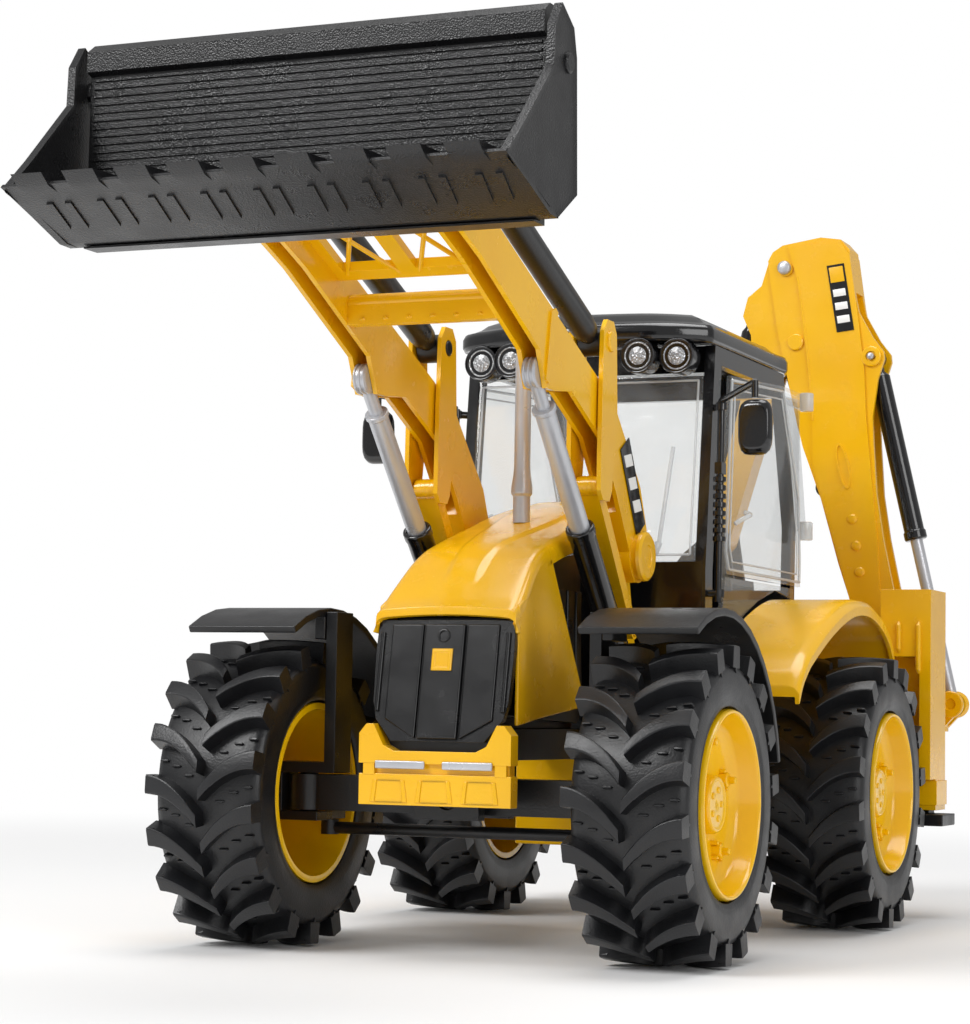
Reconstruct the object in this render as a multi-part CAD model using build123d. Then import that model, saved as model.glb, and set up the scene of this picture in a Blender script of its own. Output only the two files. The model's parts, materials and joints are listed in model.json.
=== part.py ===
from build123d import *
import math
import os

# Toy backhoe loader, millimetres. X = machine's left, Y = rearward, Z = up, ground at z = 0.
# Modelled about the middle of the wheelbase, then moved so that the origin is at bottom centre.

# ---- driving dimensions -------------------------------------------------------------------
WHEEL_R = 50.0
WHEEL_HALF = 19.0            # half the tyre width
RIM_R = 29.4
HUB_BORE = 4.3
SPINDLE_R = 4.0
AXLE_Y = 88.5                # axles stand at -AXLE_Y and +AXLE_Y
FRONT_TRACK = 70.5           # centre plane to wheel centre
REAR_TRACK = 76.0
KINGPIN_X = 56.0
TIE_ROD_Y = -72.5
FIT = 0.3                    # radial running clearance of pins

ARM_X = (25.2, 33.2)         # loader arm, inner and outer face
ARM_WALL = 1.6
ARM_PIVOT = (-20.0, 131.0)   # (y, z) of the loader pivots
BUCKET_PIVOT = (-187.0, 229.0)
CRANK_PIVOT = (-56.0, 177.0)
CRANK_TOP = (-56.0, 200.0)
CRANK_LOW = (-58.0, 152.0)
LINK_BASE = (-22.0, 106.0)   # makes a parallelogram with the arm pivot
TILT_EAR = (-187.0, 252.0)   # makes a parallelogram with the crank
LIFT_BASE = (-14.0, 82.0)
LIFT_EYE = (-108.6, 183.3)
CLAM_PIVOT = (-203.0, 255.6)
ARM_MID_X = 29.2
BUCKET_HALF = 77.0

BONNET_HALF = 22.0
BONNET_NOSE = 25.0           # half width at the front edge
BUMPER_HALF = 26.0
CAB_HALF = 47.5
DOOR_AXIS = (50.5, 124.0)    # (x, y) of the door hinge line
MIRROR_AXIS = (71.0, -10.0)
STEER_CENTRE = (0.0, 36.0, 118.0)
STEER_AXIS = (0.0, 0.5, 0.8660254)

HOE_Y = 187.0                # plane of the boom
KING_X = 78.0                # slew axis of the backhoe
BOOM_PIVOT = (70.0, 88.0)    # (x, z)
BOOM_PIN_R = 2.6
BOOM_EAR = (61.6, 225.0)
BOOM_RAM_BASE = (94.2, 83.4)
DIPPER_PIVOT = (25.0, 263.0)
DIPPER_LUG = (19.0, 246.0)
DIPPER_RAM_BASE = (41.0, 172.0)
DIPPER_LENGTH = 117.0
DIPPER_DIR = (-0.2567, -0.9665)
HOE_BUCKET_PIVOT = (-5.0, 150.0)
HOE_BUCKET_EAR = (-15.6, 139.4)
BUCKET_RAM_BASE = (9.4, 245.6)
BOOM_HALF = 8.0              # half thickness in y over the raised panels
BOOM_PLATE = 7.0             # half thickness in y beside them
RAM_SLOT = 5.2               # half width of the hollow that takes the boom ram
DIPPER_HALF = 5.6
EYE_HALF = 2.5               # half thickness of a ram eye


# ---- helpers ------------------------------------------------------------------------------
def block(x0, x1, y0, y1, z0, z1):
    """Box between two corners."""
    return Pos((x0 + x1) / 2, (y0 + y1) / 2, (z0 + z1) / 2) * Box(x1 - x0, y1 - y0, z1 - z0)


def side_plate(outline, x0, x1):
    """Outline of (y, z) points, from x0 to x1."""
    face = make_face(Polyline(*[(x0, y, z) for y, z in outline], close=True))
    return extrude(face, amount=x1 - x0, dir=(1, 0, 0))


def cross_plate(outline, y0, y1):
    """Outline of (x, z) points, from y0 to y1."""
    face = make_face(Polyline(*[(x, y0, z) for x, z in outline], close=True))
    return extrude(face, amount=y1 - y0, dir=(0, 1, 0))


def flat_plate(outline, z0, z1):
    """Outline of (x, y) points, from z0 to z1."""
    face = make_face(Polyline(*[(x, y, z0) for x, y in outline], close=True))
    return extrude(face, amount=z1 - z0, dir=(0, 0, 1))


def bar(start, end, radius):
    """Round bar between two points."""
    run = Vector(*end) - Vector(*start)
    middle = (Vector(*end) + Vector(*start)) * 0.5
    return Plane(origin=middle, z_dir=run) * Cylinder(radius, run.length)


def pin_x(x0, x1, place, radius):
    """Round bar along X at a (y, z) place."""
    return bar((x0, *place), (x1, *place), radius)


def pin_y(y0, y1, place, radius):
    """Round bar along Y at an (x, z) place."""
    return bar((place[0], y0, place[1]), (place[0], y1, place[1]), radius)


def pin_z(z0, z1, place, radius):
    """Round bar along Z at an (x, y) place."""
    return bar((*place, z0), (*place, z1), radius)


def along(start, end, distance):
    """Point at a distance from start towards end, in a plane."""
    length = math.dist(start, end)
    return tuple(s + (e - s) * distance / length for s, e in zip(start, end))


def flip(shape):
    """The same piece on the machine's right."""
    return mirror(shape, about=Plane.YZ)


def pair(shape):
    """The piece and its twin on the other side."""
    return [shape, flip(shape)]


def ring(profile):
    """Profile of (axial, radius) points turned about the X axis."""
    return revolve(make_face(Polyline(*[(a, r, 0) for a, r in profile], close=True)), Axis.X)


# ---- wheels and front axle ----------------------------------------------------------------
def tyre():
    shoulder = WHEEL_R - 1
    profile = [(-17, RIM_R + 0.1), (-19, 33), (-19, 44), (-16, shoulder), (-8, WHEEL_R),
               (8, WHEEL_R), (16, shoulder), (19, 44), (19, 33), (17, RIM_R + 0.1)]
    return ring(profile)


def rim():
    profile = [(-17.5, RIM_R), (19.3, RIM_R), (19.3, 27.6), (12, 26.2), (10, 23), (9, 12),
               (10, 9), (14.5, 8.5), (14.5, 0), (12.5, 0), (12.5, HUB_BORE), (-2, HUB_BORE),
               (-2, 8), (6, 9), (6.5, 23), (8, 26), (-17.5, 27.2)]
    nuts = [pin_x(9, 13.5, (19 * math.sin(a), 19 * math.cos(a)), 2)
            for a in (2 * math.pi * n / 5 for n in range(5))]
    return ring(profile) + nuts


def place_wheel(piece, track, axle_y):
    return Pos(track, axle_y, WHEEL_R) * piece


def front_axle_beam():
    beam = block(-49, 49, -95, -82, 44.5, 56)
    for side in (-1, 1):
        beam += pin_z(44.5, 56, (side * KINGPIN_X, -AXLE_Y), 6.5)
        beam += block(min(side * 48, side * 56), max(side * 48, side * 56), -93, -84, 44.5, 56)
    for side in (-1, 1):
        beam -= pin_z(40, 60, (side * KINGPIN_X, -AXLE_Y), 3 + FIT)
    return beam + pin_y(-102, -75, (0, WHEEL_R), 3.5)


def steering_knuckle():
    kingpin = (KINGPIN_X, -AXLE_Y)
    piece = block(44, 67, -94.5, -82.5, 56.5, 60)
    piece += block(50, 67, -94.5, -82.5, 41, 44)
    piece += block(63, 67, -94.5, -82.5, 41, 60)
    piece += block(52, 60, -83, -69, 41, 44)
    piece += block(44, 48, -94.5, -82.5, 58, 109)
    piece += pin_z(41, 60, kingpin, 3)
    return piece + pin_x(66, FRONT_TRACK + 12, (-AXLE_Y, WHEEL_R), SPINDLE_R)


def front_fender():
    inner, outer = 58.0, 60.5
    start, end, steps = 12, 118, 12
    angles = [math.radians(start + (end - start) * n / steps) for n in range(steps + 1)]
    arc = [(math.cos(a), math.sin(a)) for a in angles]
    outline = [(-AXLE_Y + outer * c, WHEEL_R + outer * s) for c, s in arc]
    outline += [(-AXLE_Y + inner * c, WHEEL_R + inner * s) for c, s in reversed(arc)]
    return side_plate(outline, 48.2, 87) + block(48.2, 52, -95, -82, 100, 109)


def tie_rod():
    rod = bar((-KINGPIN_X, TIE_ROD_Y, 38), (KINGPIN_X, TIE_ROD_Y, 38), 2)
    for side in (-1, 1):
        rod += pin_z(35.8, 40.7, (side * KINGPIN_X, TIE_ROD_Y), 3)
    return rod


# ---- chassis, engine and front end ---------------------------------------------------------
def chassis_frame():
    frame = block(-18, 18, -104, 126, 62, 72)
    frame += block(-22, 22, -108, -103, 48, 72)
    for y0, y1 in ((-103.5, -98.5), (-78.5, -74)):
        frame += block(-11, 11, y0, y1, 43, 63)
    frame -= pin_y(-104, -70, (0, WHEEL_R), 3.5 + FIT)
    frame += block(-30, 30, 76, 101, 40, 63)
    return frame + pin_x(-68, 68, (AXLE_Y, WHEEL_R), 8) + pin_x(-88, 88, (AXLE_Y, WHEEL_R), SPINDLE_R)


def loader_tower():
    outline = [(-36, 62), (2, 62), (2, 100), (-9, 140), (-31, 140), (-35, 110)]
    tower = side_plate(outline, 22.6, 24.6) + block(18, 24.6, -34, 0, 62, 72)
    tower -= pin_x(20, 26, ARM_PIVOT, 4.1)
    return tower + pin_x(24, 33, LINK_BASE, 2.2) + pin_x(24, 34.5, LIFT_BASE, 3)


def engine_block():
    return block(-15, 15, -96, -34, 72, 101) + block(-11, 11, -84, -30, 100, 118)


def bonnet_section(y, half, skirt, edge, crown):
    points = [(-half, y, skirt), (-half, y, edge), (-half * 0.76, y, crown),
              (half * 0.76, y, crown), (half, y, edge), (half, y, skirt)]
    return make_face(Polyline(*points, close=True))


def bonnet():
    # y, half width, height of the side crease, height of the top
    stations = [(-105, BONNET_NOSE, 108.5, 110.5), (-96, 24.2, 115.5, 118.3), (-86, 22.5, 123.2, 126.9),
                (-83, 22.3, 125.5, 129.5), (-64, BONNET_HALF, 130.5, 135), (-47, BONNET_HALF, 134.5, 139.5),
                (-26, BONNET_HALF, 140.5, 145.5), (0, BONNET_HALF, 146, 151)]
    outer = loft([bonnet_section(y, h, e - 2.5, e, c) for y, h, e, c in stations], ruled=True)
    wall = 1.6
    inner = loft([bonnet_section(y + (2 if y < -100 else 0), h - wall, e - 9, e - wall, c - wall)
                  for y, h, e, c in stations], ruled=True)
    shell = outer - inner
    shell -= pin_z(120, 160, (0, -45), 3.4)
    plan = [(BONNET_NOSE, -104), (24.2, -96), (22.5, -86), (BONNET_HALF, -64), (BONNET_HALF, -42),
            (BONNET_HALF - wall, -42), (BONNET_HALF - wall, -64), (22.5 - wall, -86), (24.2 - wall, -96),
            (BONNET_NOSE - wall, -104)]
    profile = [(-104, 107.5), (-83, 125), (-42, 82), (-104, 76)]
    flank = flat_plate(plan, 70, 130) & side_plate(profile, 18, 27)
    return shell + flank + flip(flank)


def grille_panel():
    panel = side_plate([(-105.3, 106), (-111, 74), (-106, 74), (-104.3, 90), (-104.3, 104)], -23.5, 23.5)
    panel += side_plate([(-110.8, 75), (-111, 67.5), (-108.4, 67.5), (-108.4, 75)], -16, 16)
    for x in (-7, 7):
        panel -= block(x - 0.6, x + 0.6, -112, -109.5, 60, 110)
    return panel


def front_bumper():
    bumper = block(-BUMPER_HALF, BUMPER_HALF, -114, -108.1, 47, 65)
    for side in (-1, 1):
        horn = [(side * 17.5, 64), (side * 20.5, 73), (side * BUMPER_HALF, 73), (side * BUMPER_HALF, 64)]
        bumper += cross_plate(horn, -114, -108.1)
    for x in (-15.5, 0, 15.5):
        bumper -= block(x - 5.5, x + 5.5, -115, -112.5, 46, 53)
    return bumper


def reflector_strips():
    return pair(block(3, 20, -114.8, -114, 59, 61.5))


def exhaust_stack():
    stack = bar((0, -45, 137), (0, -45, 152), 3.2) + bar((0, -45, 150), (0, -45, 197), 2.6)
    return stack + bar((0, -45, 195.5), (0, -41, 204), 2.5)


def belly_tank():
    return block(-28, 28, 22, 52, 30, 62)


# ---- cab -----------------------------------------------------------------------------------
def cab_frame():
    frame = block(-50.2, 50.2, 14, 120, 72, 79)
    frame += block(-46, 46, 10, 14.5, 72, 131)
    frame += block(-44, 44, 114, 118, 78, 126)
    frame += block(-43.5, 43.5, 20, 25, 199, 208.5) + block(-43.5, 43.5, 98, 103, 199, 208.5)
    frame += block(-9, 9, 14, 25, 78, 104)
    frame += bar((0, 20.5, 91.2), (0, 33.6, 113.8), 2)
    for side in (1, -1):
        post = side_plate([(11, 79), (18, 79), (18, 128), (27, 208.5), (19, 208.5), (10, 128)], 43.5, 47.3)
        post += side_plate([(112, 78), (118, 78), (121, 150), (103, 208.5), (97, 208.5), (115, 150)],
                           43.5, 47.3)
        post += block(43.5, 47.3, 22, 101, 202, 208.5)
        post += block(43.5, 47.3, 14, 116, 78, 92)
        post += bar((51, 13, 117), (51, 15, 188), 1.3)
        post += bar((46, 13, 120), (51, 13, 120), 1.3) + bar((46, 20, 186), (51, 15, 186), 1.3)
        post += bar((51, 15, 188), (*MIRROR_AXIS, 191), 1.2) + pin_z(185.5, 191.5, MIRROR_AXIS, 1.2)
        frame += post if side == 1 else flip(post)
    return frame


def cab_roof():
    front = [(48, 13), (37, 5.5), (24, 1.5), (0, -0.5), (-24, 1.5), (-37, 5.5), (-48, 13)]
    lower = front + [(-48, 106), (-38, 117), (38, 117), (48, 106)]
    upper = [(44, 22), (0, 12), (-44, 22), (-44, 100), (-34, 110), (34, 110), (44, 100)]
    return flat_plate(lower, 208.5, 215) + flat_plate(upper, 215, 221)


def roof_lamps():
    lamps = []
    for x, y in ((37.3, 5.4), (24.2, 1.2)):
        lamp = pin_y(y, y + 7, (x, 203.1), 5.3)
        lamps += pair(lamp)
    return lamps


def cab_windows():
    panes = [side_plate([(10.2, 131.2), (11.7, 131.2), (19.7, 198.8), (18.2, 198.8)], -43.2, 43.2)]
    panes.append(side_plate([(114, 126.3), (115.5, 126.3), (117.5, 150), (101.5, 198.5), (100, 198.5),
                             (116, 150)], -43.2, 43.2))
    quarter = [(20, 106), (27, 126.5), (112, 126.5), (112, 122), (88, 124.5), (66, 119.5), (50, 114),
               (34, 107)]
    panes += pair(side_plate(quarter, 47.7, 49.3))
    return panes


def door():
    outline = [(31, 199), (97, 203), (119, 162), (121, 137), (121, 127.5), (28, 127.5), (24, 135)]
    panel = side_plate(outline, 47.7, 49.3)
    panel += side_plate([(96, 197), (124, 197), (124, 203), (94, 203)], 47.7, 49.3)
    panel += side_plate([(117, 147), (138, 147), (138, 152), (117, 153)], 47.7, 49.3)
    for z0, z1 in ((146, 153), (196.5, 203.5)):
        panel += pin_z(z0, z1, DOOR_AXIS, 2.2)
    return panel


def mirror_housing():
    x, y = MIRROR_AXIS
    return block(x - 6, x + 6, y - 2, y + 2, 166, 185.2)


def driver_seat():
    seat = block(-13, 13, 56, 84, 88, 96) + block(-8, 8, 60, 80, 79, 90)
    return seat + side_plate([(80, 94), (87, 94), (93, 130), (87, 130)], -12, 12)


def steering_wheel():
    plane = Plane(origin=STEER_CENTRE, z_dir=STEER_AXIS)
    wheel = plane * Torus(11, 1.1) + plane * Cylinder(2.6, 3)
    for turn in (0, 120, 240):
        spoke = Pos(5.5, 0, 0) * Box(11, 1.8, 1.2)
        wheel += plane * (Rot(0, 0, turn) * spoke)
    return wheel


def rear_fender():
    crown = [(2, 88), (20, 101), (40, 110), (60, 117), (80, 121), (96, 121), (115, 117), (130, 110),
             (134, 101)]
    under = [(130, 99), (126, 107), (113, 113.5), (95, 117.5), (81, 117.5), (62, 113.5), (43, 107),
             (23, 98), (5, 85)]
    band = side_plate(crown + under, 50.2, 84)
    wall = side_plate(crown + [(124, 82), (112, 80), (14, 80)], 50.2, 52.2)
    return band + wall


# ---- loader --------------------------------------------------------------------------------
def loader_arm():
    outline = [(-187, 237.5), (-146, 222), (-101.7, 204), (-85, 197), (-63, 188), (-44, 179),
               (-19, 155), (-12, 141), (-12, 124), (-24, 122), (-29, 132), (-42, 150), (-58, 168),
               (-85, 180), (-100, 178.5), (-107, 178.5), (-113, 190), (-159, 211), (-187, 221)]
    arm = side_plate(outline, *ARM_X)
    channel = [(-176, 226), (-146, 219), (-101.7, 201), (-85, 194), (-63, 185), (-46, 176),
               (-33, 160), (-40, 140), (-60, 160), (-85, 170), (-104, 170), (-120, 180), (-176, 210)]
    arm -= side_plate(channel, ARM_X[0] + ARM_WALL, ARM_X[1] - ARM_WALL)
    arm += pin_x(*ARM_X, BUCKET_PIVOT, 8)
    arm += pin_x(*ARM_X, ARM_PIVOT, 9)
    arm += pin_x(ARM_X[1] - 1, 36.4, ARM_PIVOT, 8)
    arm -= pin_x(20, 40, BUCKET_PIVOT, 3 + FIT)
    arm -= pin_x(20, 35, ARM_PIVOT, 4.2)
    return arm - pin_x(20, 40, CRANK_PIVOT, 2.5 + FIT)


def loader_arms():
    inner = ARM_X[0] + 0.5
    frame = loader_arm() + flip(loader_arm())
    frame += block(-inner, inner, -130, -125, 197.5, 206)
    plate = side_plate([(-176, 229.5), (-136, 213.5), (-136, 210.5), (-176, 226.5)], -inner, inner)
    window = side_plate([(-171, 240), (-141, 230), (-141, 200), (-171, 215)], 3, inner - 4)
    ear_room = block(21.8, inner + 1, -178, -166, 220, 235)
    for gap in (window, ear_room):
        plate = plate - gap - flip(gap)
    return frame + plate


def loader_pivot_shaft():
    return pin_x(-34.6, 34.6, ARM_PIVOT, 4)


def bellcrank():
    outline = [(-50, 203), (-53, 207), (-59, 207), (-62, 203), (-63, 180), (-63.5, 150), (-61, 147),
               (-55, 147), (-53, 150), (-48.5, 177)]
    crank = side_plate(outline, 23, 24.6) + side_plate(outline, 33.8, 35.4)
    crank += pin_x(23, 35.4, CRANK_PIVOT, 2.5) + pin_x(23, 35.4, CRANK_LOW, 2)
    return crank - pin_x(20, 40, CRANK_TOP, 2.5 + FIT)


def link_bar(start, end, x0, x1, half, bore):
    """Flat link with an eye at each end, both ends given as (y, z)."""
    dy, dz = along((0, 0), (end[0] - start[0], end[1] - start[1]), half)
    corners = [(start[0] - dz, start[1] + dy), (end[0] - dz, end[1] + dy),
               (end[0] + dz, end[1] - dy), (start[0] + dz, start[1] - dy)]
    link = side_plate(corners, x0, x1)
    for place in (start, end):
        link += pin_x(x0, x1, place, half + 0.8)
    for place in (start, end):
        link -= pin_x(x0 - 1, x1 + 1, place, bore)
    return link


def leveling_link():
    return link_bar(LINK_BASE, CRANK_LOW, 25.6, 32.8, 2.5, 2.2 + FIT)


def ram_barrel_x(base, tip, first, last, radius, bore, pin_radius):
    """Cylinder barrel in the YZ plane with an eye at its base."""
    x = ARM_MID_X
    barrel = bar((x, *along(base, tip, first)), (x, *along(base, tip, last)), radius)
    barrel += pin_x(x - 4, x + 4, base, pin_radius + 2)
    barrel += bar((x, *base), (x, *along(base, tip, first + 1)), 3)
    barrel -= bar((x, *along(base, tip, first + 3)), (x, *along(base, tip, last + 1)), bore)
    return barrel - pin_x(x - 6, x + 6, base, pin_radius)


def ram_rod_x(base, tip, length, flat, radius):
    """Piston rod in the YZ plane that ends in a flat eye at the tip."""
    x = ARM_MID_X
    rod = bar((x, *along(tip, base, length)), (x, *along(tip, base, flat)), radius)
    neck = along((0, 0), (tip[0] - base[0], tip[1] - base[1]), 2.6)
    near = along(tip, base, flat + 1)
    corners = [(near[0] - neck[1], near[1] + neck[0]), (tip[0] - neck[1], tip[1] + neck[0]),
               (tip[0] + neck[1], tip[1] - neck[0]), (near[0] + neck[1], near[1] - neck[0])]
    return rod + side_plate(corners, x - 2.1, x + 2.1) + pin_x(x - 2.1, x + 2.1, tip, 3.2)


def tilt_pin():
    return pin_x(22.6, 36, CRANK_TOP, 2.5)


def bucket_pin_shaft():
    """Pin through the arm tips with the torque drum between them."""
    return pin_x(-36.6, 36.6, BUCKET_PIVOT, 3) + pin_x(-22.2, 22.2, BUCKET_PIVOT, 9.5)


def bucket_back():
    half = BUCKET_HALF - 4.5
    wall = side_plate([(-209, 213), (-208.5, 262), (-211, 263), (-211, 269), (-207, 271.8),
                       (-202.5, 271.8), (-203.5, 262), (-205, 213)], -half, half)
    ear = [(-204, 222), (-187, 221), (-179, 226), (-179, 233), (-182, 252), (-185, 257),
           (-191, 257), (-204, 262)]
    for x0, x1 in ((22.4, 24.6), (33.8, 36)):
        plate = side_plate(ear, x0, x1) - pin_x(20, 40, BUCKET_PIVOT, 3 + FIT)
        wall += plate
        wall += flip(plate)
    for side in (-1, 1):
        wall += pin_x(min(side * half, side * (half + 1.5)), max(side * half, side * (half + 1.5)),
                      (-206, 258), 3)
    return wall


def bucket_clam():
    half = BUCKET_HALF
    floor = side_plate([(-210, 211), (-210, 214), (-216, 214.5), (-246.5, 223), (-247.6, 222),
                        (-216, 211.5)], -half, half)
    side = [(-209, 271), (-200, 266), (-197.6, 258), (-196, 220), (-210.5, 211), (-216, 211.2),
            (-246.7, 222), (-235.6, 232), (-214.6, 252.5), (-214, 264)]
    clam = floor
    for x0, x1 in ((-half, 2.5 - half), (half - 2.5, half)):
        clam += side_plate(side, x0, x1)
    for n in range(9):
        x = (n - 4) * 16.5
        tooth = side_plate([(-236, 219), (-248, 221.5), (-252, 224.5), (-240, 225), (-236, 223)],
                           x - 5, x + 5)
        clam += tooth
    return clam


# ---- backhoe -------------------------------------------------------------------------------
def backhoe_frame():
    frame = block(-50, 50, 126, 145, 58, 112)
    frame -= block(-44, 44, 130, 150, 72, 104)
    frame += block(-80, 80, 144, 166, 58, 66) + block(-80, 80, 144, 166, 104, 112)
    for side in (1, -1):
        sleeve = block(80, 96, 150, 166, 42, 127) + block(76, 96, 141, 166, 101.5, 127.6)
        sleeve += block(91.5, 96, 141, 151, 54, 102)
        frame += sleeve if side == 1 else flip(sleeve)
    frame -= block(-72, 72, 160.5, 167, 106, 110)
    for side in (1, -1):
        bore = block(83, 93, 153, 163, 40, 101)
        frame -= bore if side == 1 else flip(bore)
    return frame


def stabilizer_leg():
    return block(83.4, 92.6, 153.4, 162.6, 38, 100) + block(80, 99.5, 147, 168, 36, 40.5)


def hoe_carriage():
    plate = block(58, 92, 166.2, 168.5, 56, 114) - block(66, 90, 165, 170, 75.5, 94)
    plate += block(59, 71, 161, 167, 106.6, 109.4)
    lug = block(KING_X - 12, KING_X + 12, 168, HOE_Y, 59, 72) + pin_z(59, 72, (KING_X, HOE_Y), 12)
    return plate + lug - pin_z(50, 80, (KING_X, HOE_Y), 5 + FIT)


def kingpost():
    post = pin_z(72.5, 75.5, (KING_X, HOE_Y), 14) + pin_z(58, 73, (KING_X, HOE_Y), 5)
    cheek = [(65, 74), (84, 74), (81, 88), (77, 95), (70, 98), (63, 95), (61, 88)]
    for y0 in (HOE_Y - 10.2, HOE_Y + 8.2):
        post += cross_plate(cheek, y0, y0 + 2)
    ear = [(84, 74), (91.5, 74), (97, 80), (97.8, 84), (96.5, 87), (93.5, 87.4), (89, 86), (84, 79)]
    for y0 in (HOE_Y - 4.9, HOE_Y + 2.8):
        post += cross_plate(ear, y0, y0 + 2.1)
    return post + pin_y(HOE_Y - 10, HOE_Y + 10, BOOM_PIVOT, BOOM_PIN_R)


def boom():
    lower_edge = [(53.6, 123.8), (48.2, 140.2), (40.7, 166.7), (32.8, 188.4), (30.3, 197.9),
                  (21.4, 237.6), (18.4, 257.5), (17.2, 266.7)]
    top = [(19.2, 270.3), (23.5, 273), (39.8, 275.5), (48.3, 274.2), (52, 270), (54.3, 252.4)]
    ear = [(56.2, 243.5), (62.1, 232.9), (66.6, 227), (66.9, 223.8), (64.3, 215.6), (62.2, 200),
           (62.7, 189), (64, 168.6), (66.8, 150.5), (70.8, 131.5)]
    tail = [(79.5, 98), (79, 88), (76, 82), (70, 80.5), (64, 82), (62, 90), (56, 112)]
    arm = cross_plate(lower_edge + top + ear + tail, HOE_Y - BOOM_PLATE, HOE_Y + BOOM_PLATE)
    panel = [(26, 272), (48, 273.5), (52.3, 267.7), (56.5, 238.2), (58.8, 219.8), (59.7, 200),
             (64.6, 149.4), (65.8, 128.7), (76, 100), (78, 88), (70, 81.5), (63, 90), (57, 112),
             (49.2, 140.2), (37.4, 180), (36.9, 199.4), (34.6, 224.4), (29.8, 259.3)]
    arm += cross_plate(panel, HOE_Y - BOOM_HALF, HOE_Y + BOOM_HALF)
    dipper_slot = [(8, 165), (46, 165), (46, 176), (40, 198), (40, 228), (48, 262), (48, 280), (8, 280)]
    arm -= cross_plate(dipper_slot, HOE_Y - 6, HOE_Y + 6)
    ram_slot = [(50.5, 252), (70, 252), (90, 215), (95, 84), (90, 75), (55, 75), (56, 104), (70.5, 104),
                (70.5, 112), (68.5, 128), (65.5, 146), (62.5, 165), (59, 200), (56, 214), (54.5, 232)]
    arm -= cross_plate(ram_slot, HOE_Y - RAM_SLOT, HOE_Y + RAM_SLOT)
    arm -= pin_y(HOE_Y - 20, HOE_Y + 20, BOOM_PIVOT, BOOM_PIN_R + FIT)
    for place in (BOOM_EAR, DIPPER_RAM_BASE):
        arm += pin_y(HOE_Y - 6, HOE_Y + 6, place, 1.8)
    return arm + pin_y(HOE_Y - BOOM_HALF, HOE_Y + BOOM_HALF, DIPPER_PIVOT, 3)


def on_dipper(run, across):
    """Point run mm down the dipper and across mm to its right, from the dipper pivot."""
    ux, uz = DIPPER_DIR
    return (DIPPER_PIVOT[0] + run * ux - across * uz, DIPPER_PIVOT[1] + run * uz + across * ux)


def dipper():
    half = DIPPER_HALF
    end = DIPPER_LENGTH
    outline = [on_dipper(r, a) for r, a in ((-8, -4), (-8, 4), (-2, 8.5), (20, 10), (60, 8), (end, 6),
                                            (end + 6, 3), (end + 6, -3), (end, -4), (60, -5), (36, -6),
                                            (30, -8), (23, -13.5), (15, -13.5), (9, -9), (-2, -8.5))]
    arm = cross_plate(outline, HOE_Y - half, HOE_Y + half)
    hollow = [on_dipper(r, a) for r, a in ((9, -5.3), (9, 14), (60, 14), (60, -3), (27, -4.6), (25, -5.3))]
    arm -= cross_plate(hollow, HOE_Y - 3.8, HOE_Y + 3.8)
    lug_hollow = [on_dipper(r, a) for r, a in ((10, -16), (10, -6.7), (26, -6.7), (28, -6.2), (36, -6.2),
                                               (36, -16))]
    arm -= cross_plate(lug_hollow, HOE_Y - 3.8, HOE_Y + 3.8)
    arm += pin_y(HOE_Y - half, HOE_Y + half, BUCKET_RAM_BASE, 1.8)
    arm -= pin_y(HOE_Y - 20, HOE_Y + 20, DIPPER_PIVOT, 3 + FIT)
    return arm - pin_y(HOE_Y - 20, HOE_Y + 20, HOE_BUCKET_PIVOT, 2.5 + FIT)


def ram_barrel_y(base, tip, first, last, radius, bore):
    """Cylinder barrel in the XZ plane with an eye at its base."""
    y = HOE_Y
    foot, mouth = along(base, tip, first), along(base, tip, last)
    barrel = bar((foot[0], y, foot[1]), (mouth[0], y, mouth[1]), radius)
    barrel += pin_y(y - EYE_HALF, y + EYE_HALF, base, 3.8)
    barrel += bar((base[0], y, base[1]), (foot[0], y, foot[1]), EYE_HALF - 0.3)
    inner = along(base, tip, first + 3)
    past = along(base, tip, last + 1)
    barrel -= bar((inner[0], y, inner[1]), (past[0], y, past[1]), bore)
    return barrel - pin_y(y - 9, y + 9, base, 1.8 + FIT)


def ram_rod_y(base, tip, length, radius):
    """Piston rod in the XZ plane with an eye at the tip."""
    y = HOE_Y
    inner = along(tip, base, length)
    rod = bar((inner[0], y, inner[1]), (tip[0], y, tip[1]), radius)
    return rod + pin_y(y - EYE_HALF, y + EYE_HALF, tip, 3.4)


def hoe_bucket():
    gx, gz = HOE_BUCKET_PIVOT
    shape = [(10, -16), (-12, -16), (-26, -21), (-33, -32), (-31, -46), (-20, -55), (-4, -58), (14, -55)]
    outer = cross_plate([(gx + x, gz + z) for x, z in shape], HOE_Y - 16, HOE_Y + 16)
    hollow = [(14, -18.5), (-11, -18.5), (-24.5, -23), (-30.5, -33), (-28.7, -45), (-19, -52.6),
              (-4, -55.5), (20, -53)]
    outer -= cross_plate([(gx + x, gz + z) for x, z in hollow], HOE_Y - 13.8, HOE_Y + 13.8)
    for n in range(4):
        y = HOE_Y + (n - 1.5) * 8.8
        outer += cross_plate([(gx + x, gz + z) for x, z in ((8, -56.4), (20, -53.5), (22, -51.5), (12, -53))],
                             y - 2, y + 2)
    ear = [(-21, -19), (9, -17), (6, 3), (2, 6), (-3, 6), (-8, -1), (-13, -5), (-17, -10)]
    for y0 in (HOE_Y - 8.3, HOE_Y + 6):
        outer += cross_plate([(gx + x, gz + z) for x, z in ear], y0, y0 + 2.3)
    return outer + pin_y(HOE_Y - 8, HOE_Y + 8, HOE_BUCKET_PIVOT, 2.5)


# ---- assembly ------------------------------------------------------------------------------
def lift_barrel():
    return ram_barrel_x(LIFT_BASE, LIFT_EYE, 9, 75, 4.5, 3.5, 3 + FIT)


def lift_rod():
    return ram_rod_x(LIFT_BASE, LIFT_EYE, 77, 16, 3.3)


def tilt_barrel():
    return ram_barrel_x(CRANK_TOP, TILT_EAR, 8, 86, 4.5, 3.4, 2.5 + FIT)


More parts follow.
